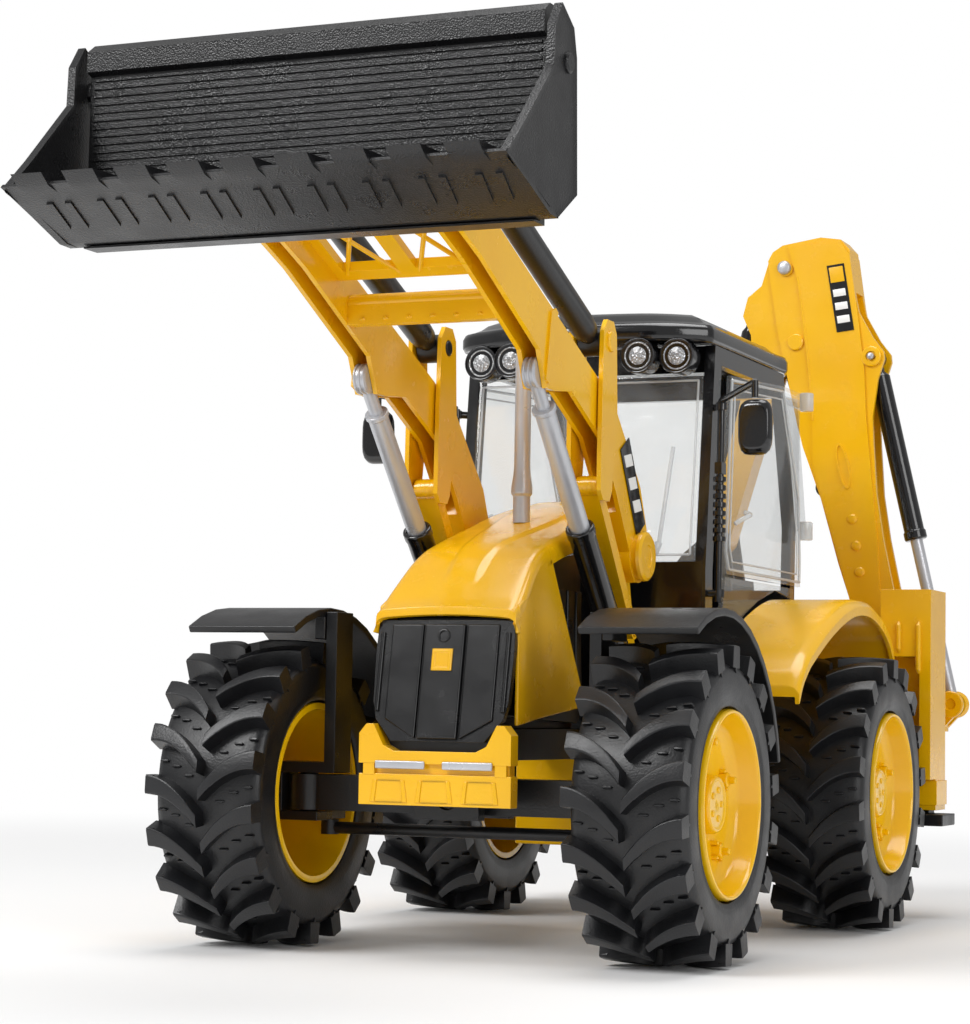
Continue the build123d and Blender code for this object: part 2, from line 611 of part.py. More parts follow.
def tilt_rod():
    return ram_rod_x(CRANK_TOP, TILT_EAR, 80, 14, 3.2)


def all_nodes():
    nodes = {"chassis_frame": [chassis_frame()], "loader_towers": pair(loader_tower()),
             "loader_pivot_shaft": [loader_pivot_shaft()], "engine_block": [engine_block()],
             "front_bumper": [front_bumper()], "reflector_strips": reflector_strips(),
             "belly_tank": [belly_tank()], "cab_frame": [cab_frame()], "cab_roof": [cab_roof()],
             "roof_lamps": roof_lamps(), "cab_windows": cab_windows(),
             "rear_fenders": pair(rear_fender()), "driver_seat": [driver_seat()],
             "backhoe_frame": [backhoe_frame()], "bonnet": [bonnet()],
             "grille_panel": [grille_panel()], "exhaust_stack": [exhaust_stack()],
             "steering_wheel": [steering_wheel()], "front_axle_beam": [front_axle_beam()],
             "tie_rod": [tie_rod()], "loader_arms": [loader_arms()], "bellcranks": pair(bellcrank()),
             "leveling_links": pair(leveling_link()), "lift_barrels": pair(lift_barrel()),
             "lift_rods": pair(lift_rod()), "tilt_pins": pair(tilt_pin()),
             "tilt_barrels": pair(tilt_barrel()), "tilt_rods": pair(tilt_rod()),
             "bucket_pin_shaft": [bucket_pin_shaft()], "bucket_back": [bucket_back()],
             "bucket_clam": [bucket_clam()], "hoe_carriage": [hoe_carriage()],
             "kingpost": [kingpost()], "boom": [boom()], "dipper": [dipper()],
             "hoe_bucket": [hoe_bucket()]}
    rams = {"boom_ram": (BOOM_EAR, BOOM_RAM_BASE, 77, 96, 4, 2.6),
            "dipper_ram": (DIPPER_RAM_BASE, DIPPER_LUG, 62, 68, 3.5, 2.2),
            "bucket_ram": (BUCKET_RAM_BASE, HOE_BUCKET_EAR, 66, 72, 3.5, 2.2)}
    for name, (base, tip, barrel, rod, radius, bore) in rams.items():
        nodes[name + "_barrel"] = [ram_barrel_y(base, tip, 6, barrel, radius, bore)]
        nodes[name + "_rod"] = [ram_rod_y(base, tip, rod, bore - 0.2)]
    handed = {"door": door(), "mirror": mirror_housing(), "steering_knuckle": steering_knuckle(),
              "front_fender": front_fender(), "stabilizer_leg": stabilizer_leg()}
    for end, track, axle_y in (("front", FRONT_TRACK, -AXLE_Y), ("rear", REAR_TRACK, AXLE_Y)):
        handed["tyre_" + end] = place_wheel(tyre(), track, axle_y)
        handed["rim_" + end] = place_wheel(rim(), track, axle_y)
    for name, piece in handed.items():
        nodes[name + "_left"] = [piece]
        nodes[name + "_right"] = [flip(piece)]
    return nodes


def main():
    nodes = all_nodes()
    boxes = [piece.bounding_box() for pieces in nodes.values() for piece in pieces]
    y_min = min(b.min.Y for b in boxes)
    y_max = max(b.max.Y for b in boxes)
    to_centre = Pos(0, -(y_min + y_max) / 2, 0)
    os.makedirs("parts", exist_ok=True)
    for name, pieces in nodes.items():
        solids = [s for piece in pieces for s in (to_centre * piece).solids()]
        export_step(Compound(children=solids), f"parts/{name}.step")
    print(f"{len(nodes)} nodes, moved {-(y_min + y_max) / 2:.4f} mm in Y")


main()
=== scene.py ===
import json
import math

import bmesh
import bpy
from mathutils import Matrix, Vector


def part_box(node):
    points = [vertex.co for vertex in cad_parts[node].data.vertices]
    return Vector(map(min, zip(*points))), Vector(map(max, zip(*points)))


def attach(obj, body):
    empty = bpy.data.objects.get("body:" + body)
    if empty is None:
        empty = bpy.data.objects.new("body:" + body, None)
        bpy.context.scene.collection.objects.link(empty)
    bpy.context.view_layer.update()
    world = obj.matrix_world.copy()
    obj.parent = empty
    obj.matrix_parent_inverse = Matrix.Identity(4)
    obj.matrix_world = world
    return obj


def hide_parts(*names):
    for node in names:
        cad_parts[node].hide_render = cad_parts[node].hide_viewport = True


# Toy backhoe loader. Shapes are in millimetres about the middle of the wheelbase (X left, Y rearward,
# Z up from the ground) and are moved into the frame when a piece is finished.

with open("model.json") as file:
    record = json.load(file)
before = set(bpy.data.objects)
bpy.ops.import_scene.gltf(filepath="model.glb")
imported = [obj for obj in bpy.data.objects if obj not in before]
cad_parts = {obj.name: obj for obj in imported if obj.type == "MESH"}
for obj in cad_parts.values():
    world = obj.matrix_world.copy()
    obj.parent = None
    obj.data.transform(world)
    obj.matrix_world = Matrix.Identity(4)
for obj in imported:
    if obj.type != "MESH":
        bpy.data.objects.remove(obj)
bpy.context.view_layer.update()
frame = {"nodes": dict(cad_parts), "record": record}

MM = 0.001
NODES = frame["nodes"]
BODY_OF = {n: b for b, members in frame["record"]["behaviour"]["bodies"].items() for n in members}
SLOT_OF = {p["node"]: p["material_slot"] for p in frame["record"]["subparts"]}


def wheel_middle(node):
    low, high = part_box(node)
    return (low + high) / 2


MID_Y = (wheel_middle("tyre_front_left").y + wheel_middle("tyre_rear_left").y) / 2


def box_mm(node):
    """Lowest and highest corner of a CAD node, in this script's millimetres."""
    shift = Vector((0, MID_Y, 0))
    low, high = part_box(node)
    return (low - shift) / MM, (high - shift) / MM


# ---- materials ------------------------------------------------------------------------------
def new_material(name):
    material = bpy.data.materials.new(name)
    material.use_nodes = True
    tree = material.node_tree
    return material, tree, tree.nodes["Principled BSDF"]


def noise_node(tree, scale, detail=3.0):
    coords = tree.nodes.new("ShaderNodeTexCoord")
    noise = tree.nodes.new("ShaderNodeTexNoise")
    noise.inputs["Scale"].default_value = scale
    noise.inputs["Detail"].default_value = detail
    tree.links.new(coords.outputs["Object"], noise.inputs["Vector"])
    return noise


def ramp_node(tree, source, low, high, start=0.3, end=0.7):
    ramp = tree.nodes.new("ShaderNodeValToRGB")
    ramp.color_ramp.elements[0].position = start
    ramp.color_ramp.elements[1].position = end
    ramp.color_ramp.elements[0].color = low
    ramp.color_ramp.elements[1].color = high
    tree.links.new(source, ramp.inputs["Fac"])
    return ramp


def add_bump(tree, bsdf, source, strength, distance):
    bump = tree.nodes.new("ShaderNodeBump")
    bump.inputs["Strength"].default_value = strength
    bump.inputs["Distance"].default_value = distance
    tree.links.new(source, bump.inputs["Height"])
    tree.links.new(bump.outputs["Normal"], bsdf.inputs["Normal"])


def grey(value):
    return (value, value, value, 1)


def moulded(name, low, high, rough, grain, grain_depth, coat=0.0, metallic=0.0, pebble=False):
    """Moulded plastic: colour drifts between low and high, gloss between the two rough values, and the
    surface has a grain of the given fineness and depth (metres)."""
    material, tree, bsdf = new_material(name)
    drift = noise_node(tree, 28)
    colour = ramp_node(tree, drift.outputs["Fac"], (*low, 1), (*high, 1))
    tree.links.new(colour.outputs["Color"], bsdf.inputs["Base Color"])
    gloss = noise_node(tree, 90, 5)
    shine = ramp_node(tree, gloss.outputs["Fac"], grey(rough[0]), grey(rough[1]))
    tree.links.new(shine.outputs["Color"], bsdf.inputs["Roughness"])
    if pebble:
        cells = tree.nodes.new("ShaderNodeTexVoronoi")
        cells.inputs["Scale"].default_value = grain
        coords = tree.nodes.new("ShaderNodeTexCoord")
        tree.links.new(coords.outputs["Object"], cells.inputs["Vector"])
        height = cells.outputs["Distance"]
    else:
        height = noise_node(tree, grain, 2).outputs["Fac"]
    add_bump(tree, bsdf, height, 1.0, grain_depth)
    bsdf.inputs["Coat Weight"].default_value = coat
    bsdf.inputs["Coat Roughness"].default_value = 0.08
    bsdf.inputs["Metallic"].default_value = metallic
    return material


def clear_plastic(name, haze, tint):
    """Clear moulded sheet: mostly see-through, with gloss by viewing angle and a faint haze."""
    material, tree, bsdf = new_material(name)
    out = tree.nodes["Material Output"]
    through = tree.nodes.new("ShaderNodeBsdfTransparent")
    through.inputs["Color"].default_value = (*tint, 1)
    shine = tree.nodes.new("ShaderNodeBsdfGlossy")
    shine.inputs["Roughness"].default_value = 0.06
    body = tree.nodes.new("ShaderNodeBsdfDiffuse")
    body.inputs["Color"].default_value = (0.86, 0.88, 0.89, 1)
    clouds = noise_node(tree, 35)
    amount = ramp_node(tree, clouds.outputs["Fac"], grey(haze * 0.7), grey(haze * 1.3))
    hazy = tree.nodes.new("ShaderNodeMixShader")
    tree.links.new(amount.outputs["Color"], hazy.inputs["Fac"])
    tree.links.new(through.outputs["BSDF"], hazy.inputs[1])
    tree.links.new(body.outputs["BSDF"], hazy.inputs[2])
    angle = tree.nodes.new("ShaderNodeFresnel")
    angle.inputs["IOR"].default_value = 1.6
    geometry = tree.nodes.new("ShaderNodeNewGeometry")
    gleam = tree.nodes.new("ShaderNodeMix")
    gleam.inputs["B"].default_value = 0.0
    tree.links.new(geometry.outputs["Backfacing"], gleam.inputs["Factor"])
    tree.links.new(angle.outputs["Fac"], gleam.inputs["A"])
    ripple = noise_node(tree, 60, 2)
    bump = tree.nodes.new("ShaderNodeBump")
    bump.inputs["Strength"].default_value = 0.12
    bump.inputs["Distance"].default_value = 0.0006
    tree.links.new(ripple.outputs["Fac"], bump.inputs["Height"])
    tree.links.new(bump.outputs["Normal"], shine.inputs["Normal"])
    glossy = tree.nodes.new("ShaderNodeMixShader")
    tree.links.new(gleam.outputs["Result"], glossy.inputs["Fac"])
    tree.links.new(hazy.outputs["Shader"], glossy.inputs[1])
    tree.links.new(shine.outputs["BSDF"], glossy.inputs[2])
    tree.links.new(glossy.outputs["Shader"], out.inputs["Surface"])
    tree.nodes.remove(bsdf)
    return material


YELLOW = moulded("yellow_plastic", (0.84, 0.44, 0.0), (0.90, 0.50, 0.002), (0.18, 0.30), 900, 0.00004, 0.25)
RIM_YELLOW = moulded("rim_yellow", (0.88, 0.50, 0.0), (0.95, 0.57, 0.002), (0.15, 0.25), 700, 0.00004, 0.3)
BLACK = moulded("black_plastic", (0.004, 0.004, 0.0045), (0.008, 0.008, 0.009), (0.26, 0.40), 1400, 0.00006)
PEBBLED = moulded("black_pebbled", (0.004, 0.004, 0.0045), (0.008, 0.008, 0.009), (0.24, 0.38), 1900, 0.00008,
                  pebble=True)
GLOSS_BLACK = moulded("black_gloss", (0.003, 0.003, 0.0035), (0.006, 0.006, 0.007), (0.10, 0.20), 800,
                      0.00003, 0.4)
GRAINED = moulded("black_grained", (0.004, 0.004, 0.0045), (0.008, 0.008, 0.009), (0.20, 0.30), 2600, 0.00003)
RUBBER = moulded("tyre_rubber", (0.005, 0.005, 0.006), (0.009, 0.0095, 0.011), (0.30, 0.44), 1500, 0.00008)
SILVER = moulded("silver_plastic", (0.46, 0.47, 0.50), (0.60, 0.61, 0.64), (0.26, 0.40), 2200, 0.00006,
                 0.3, 0.45)
WHITE = moulded("white_print", (0.82, 0.82, 0.80), (0.90, 0.90, 0.88), (0.3, 0.4), 900, 0.00002)
LENS = moulded("lamp_lens", (0.20, 0.20, 0.21), (0.46, 0.47, 0.48), (0.08, 0.18), 1300, 0.0004,
               1.0, 0.55, pebble=True)
CLEAR = clear_plastic("clear_plastic", 0.06, (0.98, 0.985, 0.985))
CLEAR_EDGE = clear_plastic("clear_edge", 0.40, (0.86, 0.87, 0.88))
SLOT_MATERIAL = {"yellow_plastic": YELLOW, "rim_yellow": RIM_YELLOW, "black_plastic": BLACK,
                 "black_gloss": GLOSS_BLACK, "tyre_rubber": RUBBER, "clear_plastic": CLEAR,
                 "silver_plastic": SILVER}


# ---- mesh building --------------------------------------------------------------------------
def on_plane(axis, place, a, b):
    """Point of an outline drawn across an axis: x takes (y, z), y takes (x, z), z takes (x, y)."""
    return {"x": (place, a, b), "y": (a, place, b), "z": (a, b, place)}[axis]


def across(direction):
    """Two unit vectors square to a direction."""
    helper = Vector((0, 0, 1)) if abs(direction.z) < 0.9 else Vector((1, 0, 0))
    first = direction.cross(helper).normalized()
    return first, direction.cross(first).normalized()


def smooth_path(points, steps=6):
    """Catmull-Rom curve through the points."""
    points = [Vector(p) for p in points]
    path = []
    for n in range(len(points) - 1):
        before = points[max(n - 1, 0)]
        a, b = points[n], points[n + 1]
        after = points[min(n + 2, len(points) - 1)]
        for k in range(steps):
            t = k / steps
            path.append(0.5 * (2 * a + (b - before) * t + (2 * before - 5 * a + 4 * b - after) * t ** 2
                               + (3 * a - before - 3 * b + after) * t ** 3))
    return path + [points[-1]]


class Shape:
    """One piece's mesh, in millimetres."""

    def __init__(self, *cad_nodes):
        self.bm = bmesh.new()
        self.nodes = cad_nodes

    def take(self, *nodes):
        """Start from the CAD solids, with their flat faces joined up again."""
        for node in nodes or self.nodes:
            first = len(self.bm.verts)
            self.bm.from_mesh(NODES[node].data)
            self.bm.verts.ensure_lookup_table()
            fresh = self.bm.verts[first:]
            for v in fresh:
                v.co = (v.co - Vector((0, MID_Y, 0))) / MM
            bmesh.ops.remove_doubles(self.bm, verts=fresh, dist=0.005)
        bmesh.ops.dissolve_limit(self.bm, angle_limit=math.radians(0.5), verts=self.bm.verts,
                                 edges=self.bm.edges)
        return self

    def rings(self, rings, loop=False, caps=True):
        """Skin a list of equal rings of points."""
        rows = [[self.bm.verts.new(p) for p in ring] for ring in rings]
        pairs = list(zip(rows, rows[1:])) + ([(rows[-1], rows[0])] if loop else [])
        count = len(rows[0])
        for low, high in pairs:
            for k in range(count):
                self.bm.faces.new((low[k], low[(k + 1) % count], high[(k + 1) % count], high[k]))
        if caps and not loop:
            self.bm.faces.new(rows[0])
            self.bm.faces.new(rows[-1])
        return self

    def prism(self, outline, axis, low, high):
        return self.rings([[on_plane(axis, place, a, b) for a, b in outline] for place in (low, high)])

    def box(self, x0, x1, y0, y1, z0, z1):
        return self.prism([(x0, y0), (x1, y0), (x1, y1), (x0, y1)], "z", z0, z1)

    def tube(self, points, radius, sides=16):
        """Round tube along points; radius is a number or one number per point."""
        points = [Vector(p) for p in points]
        radii = radius if isinstance(radius, (list, tuple)) else [radius] * len(points)
        rings = []
        side = None
        for n, p in enumerate(points):
            run = (points[min(n + 1, len(points) - 1)] - points[max(n - 1, 0)]).normalized()
            side = across(run)[0] if side is None else (side - run * side.dot(run)).normalized()
            other = run.cross(side)
            rings.append([p + radii[n] * (side * math.cos(a) + other * math.sin(a))
                          for a in (2 * math.pi * k / sides for k in range(sides))])
        return self.rings(rings)

    def lathe(self, profile, centre, direction, sides=64, closed=False):
        """Turn (along, radius) points about a direction through a centre."""
        direction = Vector(direction).normalized()
        first, second = across(direction)
        centre = Vector(centre)
        rings = [[centre + direction * s + max(r, 0.01) * (first * math.cos(a) + second * math.sin(a))
                  for a in (2 * math.pi * k / sides for k in range(sides))] for s, r in profile]
        return self.rings(rings, loop=closed)

    def inset(self, toward, least_area, thickness, depth):
        """Sink or raise a panel inside each large face that looks along a direction."""
        toward = Vector(toward)
        self.bm.normal_update()
        faces = [f for f in self.bm.faces if f.calc_area() > least_area and abs(f.normal.dot(toward)) > 0.9]
        for face in faces:
            bmesh.ops.inset_individual(self.bm, faces=[face], thickness=thickness, depth=depth)
        return self

    def twin(self):
        """Add the mirror image on the other side."""
        faces = list(self.bm.faces)
        copy = bmesh.ops.duplicate(self.bm, geom=faces + list(self.bm.edges) + list(self.bm.verts))
        verts = [g for g in copy["geom"] if isinstance(g, bmesh.types.BMVert)]
        bmesh.ops.scale(self.bm, vec=(-1, 1, 1), verts=verts)
        return self

    def finish(self, name, material, body=None, bevel=0.4, segments=2, angle=32, extra=None, slot=None):
        bmesh.ops.recalc_face_normals(self.bm, faces=self.bm.faces)
        for v in self.bm.verts:
            v.co = v.co * MM + Vector((0, MID_Y, 0))
        mesh = bpy.data.meshes.new(name)
        self.bm.to_mesh(mesh)
        self.bm.free()
        for face in mesh.polygons:
            face.use_smooth = True
        piece = bpy.data.objects.new(name, mesh)
        bpy.context.scene.collection.objects.link(piece)
        mesh.materials.append(material)
        if extra:
            extra(piece)
        if bevel:
            round_edges = piece.modifiers.new("round_edges", "BEVEL")
            round_edges.width = bevel * MM
            round_edges.segments = segments
            round_edges.limit_method = "ANGLE"
            round_edges.angle_limit = math.radians(angle)
            round_edges.use_clamp_overlap = True
            round_edges.miter_outer = "MITER_ARC"
        normals = piece.modifiers.new("even_shading", "WEIGHTED_NORMAL")
        normals.keep_sharp = False
        node = self.nodes[0] if self.nodes else None
        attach(piece, body or BODY_OF[node])
        if self.nodes:
            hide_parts(*self.nodes)
        return piece


# ---- wheels ---------------------------------------------------------------------------------
LUGS = 18
LUG_SWEEP = 0.23             # radians from the centre line to the shoulder
LUG_HEIGHT = 5.2


def lug_turn(t):
    return LUG_SWEEP * (1 - (1 - t) ** 2)


def tyre(node):
    low, high = box_mm(node)
    centre = (low + high) / 2
    radius, half = (high.z - low.z) / 2, (high.x - low.x) / 2
    floor = radius - LUG_HEIGHT

    def place(axial, r, turn):
        return centre + Vector((axial, -r * math.cos(turn), r * math.sin(turn)))

    shape = Shape(node)
    wall = [(half * 0.80, 29.6), (half * 0.93, 30.2), (half * 0.97, 32), (half * 0.955, 32.8),
            (half * 0.985, 34), (half * 0.985, 40.5), (half * 0.94, 42.6), (half * 0.80, floor - 0.9),
            (half * 0.45, floor - 0.2), (0, floor)]
    profile = wall + [(-a, r) for a, r in reversed(wall[:-1])]
    shape.lathe(profile, centre, (1, 0, 0), 120, closed=True)
    pitch = 2 * math.pi / LUGS
    for side in (-1, 1):
        for n in range(LUGS):
            start = pitch * (n + (0.5 if side < 0 else 0))
            lug_bar(shape, place, side, start, radius, half, floor)
            for t in (0.30, 0.55, 0.80):
                turn = start + pitch * 0.52 + lug_turn(t)
                nub(shape, place, side * half * t, floor - 0.9 * t * t, turn)
    return shape.finish(node + "_tread", RUBBER, bevel=0.35, segments=1, angle=50)


def lug_bar(shape, place, side, start, radius, half, floor):
    """One curved tread bar from the centre line out over the shoulder."""
    rings = []
    steps = 9
    for k in range(steps + 1):
        t = k / steps
        axial = side * (0.4 + (half - 0.4) * t)
        turn = start + lug_turn(t)
        top = radius - 0.9 * t ** 2
        width = (2.1 + 1.0 * t) / radius
        foot = width + 0.9 / radius
        rings.append([place(axial, floor - 2.5, turn - foot), place(axial, top - 0.3, turn - width),
                      place(axial, top, turn - width * 0.75), place(axial, top, turn + width * 0.75),
                      place(axial, top - 0.3, turn + width), place(axial, floor - 2.5, turn + foot)])
    shape.rings(rings)
    turn = start + lug_turn(1)
    tooth = [(radius - 1.6, -3.1), (radius - 1.6, 3.1), (radius - 9.5, 0.2)]
    faces = [[place(side * a, r, turn + w / radius) for r, w in tooth] for a in (half * 0.86, half * 0.998)]
    shape.rings(faces)


def nub(shape, place, axial, r, turn):
    """Small oval bump between two tread bars."""
    rings = []
    for s, spread, lift in ((-1.7, 0.15, 0.2), (-1.2, 0.55, 0.75), (1.2, 0.55, 0.75), (1.7, 0.15, 0.2)):
        w = spread / r
        rings.append([place(axial + s, r - 0.6, turn - w), place(axial + s, r + lift, turn - w * 0.6),
                      place(axial + s, r + lift, turn + w * 0.6), place(axial + s, r - 0.6, turn + w)])
    shape.rings(rings)


def rim(node):
    tyre_low, tyre_high = box_mm(node.replace("rim", "tyre"))
    centre = (tyre_low + tyre_high) / 2
    out = 1 if centre.x > 0 else -1
    axis = Vector((out, 0, 0))
    shape = Shape(node)
    profile = [(-17.5, 29.4), (18.0, 29.4), (19.2, 28.9), (19.2, 28.2), (18.0, 27.6), (13.0, 26.8),
               (11.2, 25.4), (9.8, 22.5), (8.8, 17), (8.4, 12), (8.7, 10.2), (9.6, 9.4), (13.2, 9.0),
               (14.2, 8.4), (14.3, 7.6), (13.8, 7.1), (13.9, 3), (14.1, 0.0), (5, 0.0), (5, 9),
               (6.5, 20), (8.5, 25.6), (-17.5, 27.2)]
    shape.lathe(profile, centre, axis, 96, closed=True)
    for n in range(5):
        turn = 2 * math.pi * (n + 0.3) / 5
        radial = Vector((0, math.cos(turn), math.sin(turn)))
        spot = centre + radial * 19.3
        around = Vector((0, -math.sin(turn), math.cos(turn)))
        shape.lathe([(8, 2.6), (11.6, 2.4), (12.0, 2.0), (12.0, 0)], spot, axis, 20)
        shape.lathe([(11, 1.35), (14.0, 1.3), (14.3, 0.9), (14.3, 0)], spot, axis, 6)
        for dr, dt in ((3.4, 0), (-3.4, 0), (0, 3.0), (0, -3.0)):
            rivet = spot + radial * dr + around * dt
            shape.lathe([(8, 0.8), (11.0, 0.75), (11.3, 0.4), (11.3, 0)], rivet, axis, 10)
    for n in range(5):
        turn = 2 * math.pi * n / 5
        spot = centre + Vector((0, math.cos(turn), math.sin(turn))) * 4.6
        shape.lathe([(13.6, 1.1), (14.35, 1.0), (14.35, 0)], spot, axis, 16)
    return shape.finish(node + "_disc", RIM_YELLOW, bevel=0.15, segments=1, angle=35)


# ---- loader ---------------------------------------------------------------------------------
def bucket_back():
    shape = Shape("bucket_back").take()
    low, high = box_mm("bucket_back")
    reach = high.x - 3
    rib_count = 19
    for n in range(rib_count):
        z = low.z + 5 + n * (high.z - low.z - 16) / (rib_count - 1)
        face = -208.9 + 0.4 * (z - 213) / 50
        foot, crest = face + 0.6, face - 0.55
        rib = [(foot, z - 0.75), (crest, z - 0.35), (crest, z + 0.35), (foot, z + 0.75)]
        shape.prism(rib, "x", -reach, reach)
    for x in (-60, -44, -12, 12, 44, 60):
        shape.prism([(-205.4, 218), (-201.5, 222), (-200.5, 258), (-204, 265)], "x", x - 0.9, x + 0.9)
    shape.tube([(-reach, -204, 266.5), (reach, -204, 266.5)], 2.2, 20)
    lip = [(-212.5, 210.2), (-205, 210.2), (-205, 214), (-208.4, 214), (-208.6, 210.9), (-212.5, 210.8)]
    shape.prism(lip, "x", -reach, reach)
    return shape.finish("bucket_back_ribbed", PEBBLED, bevel=0.45)


def bucket_clam():
    shape = Shape("bucket_clam").take()
    shape.inset((1, 0, 0), 900, 2.2, -0.5)
    half = box_mm("bucket_clam")[1].x
    for side in (-1, 1):
        pivot = (side * (half - 1), -203, 255.6)
        shape.lathe([(-1, 3.2), (1.0, 3.0), (1.5, 2.4), (1.5, 0)], pivot, (side, 0, 0), 24)
    for n in range(9):
        x = (n - 4) * 16.5
        for lean in (-3.4, 2.6):
            outline = [(x + lean - 1.0, -224), (x + lean + 1.2, -224),
                       (x + lean + 3.6, -238), (x + lean + 1.6, -238)]
            rows = [[(px, py, underside(py) + drop) for px, py in outline] for drop in (0.3, -0.55)]
            shape.rings(rows)
    return shape.finish("bucket_clam_jaw", PEBBLED, bevel=0.5)


def underside(y):
    """Height of the bucket floor's lower face."""
    return 211.5 + (y + 216) * (222 - 211.5) / (-247.6 + 216)


def loader_arms():
    shape = Shape("loader_arms").take()
    low_rail, high_rail = (-173, 227.2), (-139, 213.2)
    for x in (-12.4, 12.4):
        for lean in (-1, 1):
            start = Vector((x - lean * 8.8, low_rail[0], low_rail[1] - 1.2))
            end = Vector((x + lean * 8.8, high_rail[0], high_rail[1] - 1.2))
            shape.tube([start, end], 0.8, 8)
    zigzag = [(x, -130.6 if n % 2 else -124.6, 199.2) for n, x in enumerate(range(-24, 25, 4))]
    for a, b in zip(zigzag, zigzag[1:]):
        shape.tube([a, b], 0.55, 8)
    shape.tube([(-25, -127.6, 204.8), (25, -127.6, 204.8)], 2.6, 20)
    for side in (-1, 1):
        seam = [(-105, 203.0), (-101.5, 204.4), (-99.5, 203.4), (-106, 180), (-109, 181)]
        shape.prism(seam, "x", side * 33.0, side * 33.9)
        shape.lathe([(0, 8.6), (1.2, 8.4), (1.9, 7.4), (1.9, 4.0), (1.2, 3.6), (1.2, 0)],
                    (side * 35.0, -20, 131), (side, 0, 0), 40)
    return shape.finish("loader_arms_frame", YELLOW, bevel=0.5)


def arm_stripes():
    """Plain diagonal stripes where the arms' rear ends slope down."""
    base = Shape()
    bars = Shape()
    top, foot = Vector((-33, 163)), Vector((-19.5, 141))
    run = (foot - top).normalized()
    out = Vector((-run.y, run.x))
    start, end, half = top - run * 6, foot + run * 1, 4.6

    def corner(point, width):
        return tuple(point + out * width)

    outline = [corner(start, -half), corner(start, half), corner(end, half), corner(end, -half)]
    for side in (-1, 1):
        base.prism(outline, "x", side * 33.4, side * 33.75)
        for n in range(3):
            a = start + run * (3 + n * 8.6)
            b = a + run * 4.4
            skew = run * 2.4
            bars.prism([corner(a, -3.2), corner(a + skew, 3.2), corner(b + skew, 3.2), corner(b, -3.2)],
                       "x", side * 33.6, side * 33.95)
    base.finish("arm_stripe_base", GLOSS_BLACK, "loader_arms", bevel=0, slot="black_gloss")
    bars.finish("arm_stripe_bars", WHITE, "loader_arms", bevel=0, slot="yellow_plastic")


def bellcranks():
    shape = Shape("bellcranks").take()
    for side in (-1, 1):
        cap = [(0, 3.6), (0.9, 3.5), (1.3, 3.1), (1.3, 0)]
        shape.lathe(cap, (side * 35.2, TILT_BASE[1], TILT_BASE[2]), (side, 0, 0), 32)
    washer = [(-0.45, 2.0), (-0.45, 3.4), (0.45, 3.4), (0.45, 2.0)]
    for x in (27.6, 29.2, 30.8):
        for side in (-1, 1):
            shape.lathe(washer, (side * x, -58, 152), (1, 0, 0), 24, closed=True)
    return shape.finish("bellcrank_plates", YELLOW, bevel=0.5)


# Pins of the loader's rams on the left side
LIFT_BASE = (29.2, -14, 82)
LIFT_EYE = (29.2, -108.6, 183.3)
TILT_BASE = (29.2, -56, 200)
TILT_EYE = (29.2, -187, 252)


def lift_rams():
    barrels = Shape("lift_barrels")
    run = Vector(LIFT_EYE) - Vector(LIFT_BASE)
    tube = [(4, 3.2), (9, 4.5), (72.5, 4.5), (73.5, 4.9), (76, 4.9), (76.5, 4.5), (76.5, 3.6), (13, 3.5)]
    barrels.lathe(tube, LIFT_BASE, run, 40)
    barrels.lathe([(-4.0, 3.3), (-4.0, 5.3), (4.0, 5.3), (4.0, 3.3)], LIFT_BASE, (1, 0, 0), 32, closed=True)
    barrels.twin().finish("lift_ram_barrels", GLOSS_BLACK, bevel=0.3)
    rods = Shape("lift_rods")
    back = Vector(LIFT_BASE) - Vector(LIFT_EYE)
    rods.lathe([(13.3, 2.2), (13.6, 3.9), (15.1, 3.9), (15.5, 3.35), (77, 3.35), (77, 0)], LIFT_EYE, back, 40)
    rods.lathe([(3, 2.2), (13.6, 2.2)], LIFT_EYE, back, 24)
    rods.lathe([(-2.3, 4.2), (-2.0, 4.6), (2.0, 4.6), (2.3, 4.2)], LIFT_EYE, (1, 0, 0), 36)
    for x in (-1.6, 0, 1.6):
        rods.lathe([(x - 0.5, 4.4), (x - 0.3, 5.0), (x + 0.3, 5.0), (x + 0.5, 4.4)], LIFT_EYE, (1, 0, 0), 36)
    rods.twin().finish("lift_ram_rods", SILVER, bevel=0.2)


def tilt_rams():
    run = Vector(TILT_EYE) - Vector(TILT_BASE)
    barrels = Shape("tilt_barrels")
    tube = [(3, 2.6), (8, 4.2), (12, 4.5), (82, 4.5), (83, 5.0), (86, 5.0), (86.5, 4.5), (86.5, 3.5),
            (50, 3.4)]
    barrels.lathe(tube, TILT_BASE, run, 40)
    barrels.lathe([(-3.9, 2.8), (-3.9, 4.8), (3.9, 4.8), (3.9, 2.8)], TILT_BASE, (1, 0, 0), 32, closed=True)
    barrels.twin().finish("tilt_ram_barrels", BLACK, bevel=0.3)
    rods = Shape("tilt_rods")
    back = -run
    rods.lathe([(3, 2.3), (13, 2.5), (14, 3.2), (80, 3.2), (80, 0)], TILT_EYE, back, 40)
    rods.lathe([(-2.1, 2.8), (-1.7, 3.2), (1.7, 3.2), (2.1, 2.8)], TILT_EYE, (1, 0, 0), 36)
    sleeve = [(36, 3.2), (36.6, 4.0), (38.4, 4.0), (38.8, 3.6), (39.2, 4.0), (41.2, 4.0), (41.9, 3.2)]
    rods.lathe(sleeve, TILT_EYE, back, 36)
    rods.twin().finish("tilt_ram_rods", BLACK, bevel=0.2)


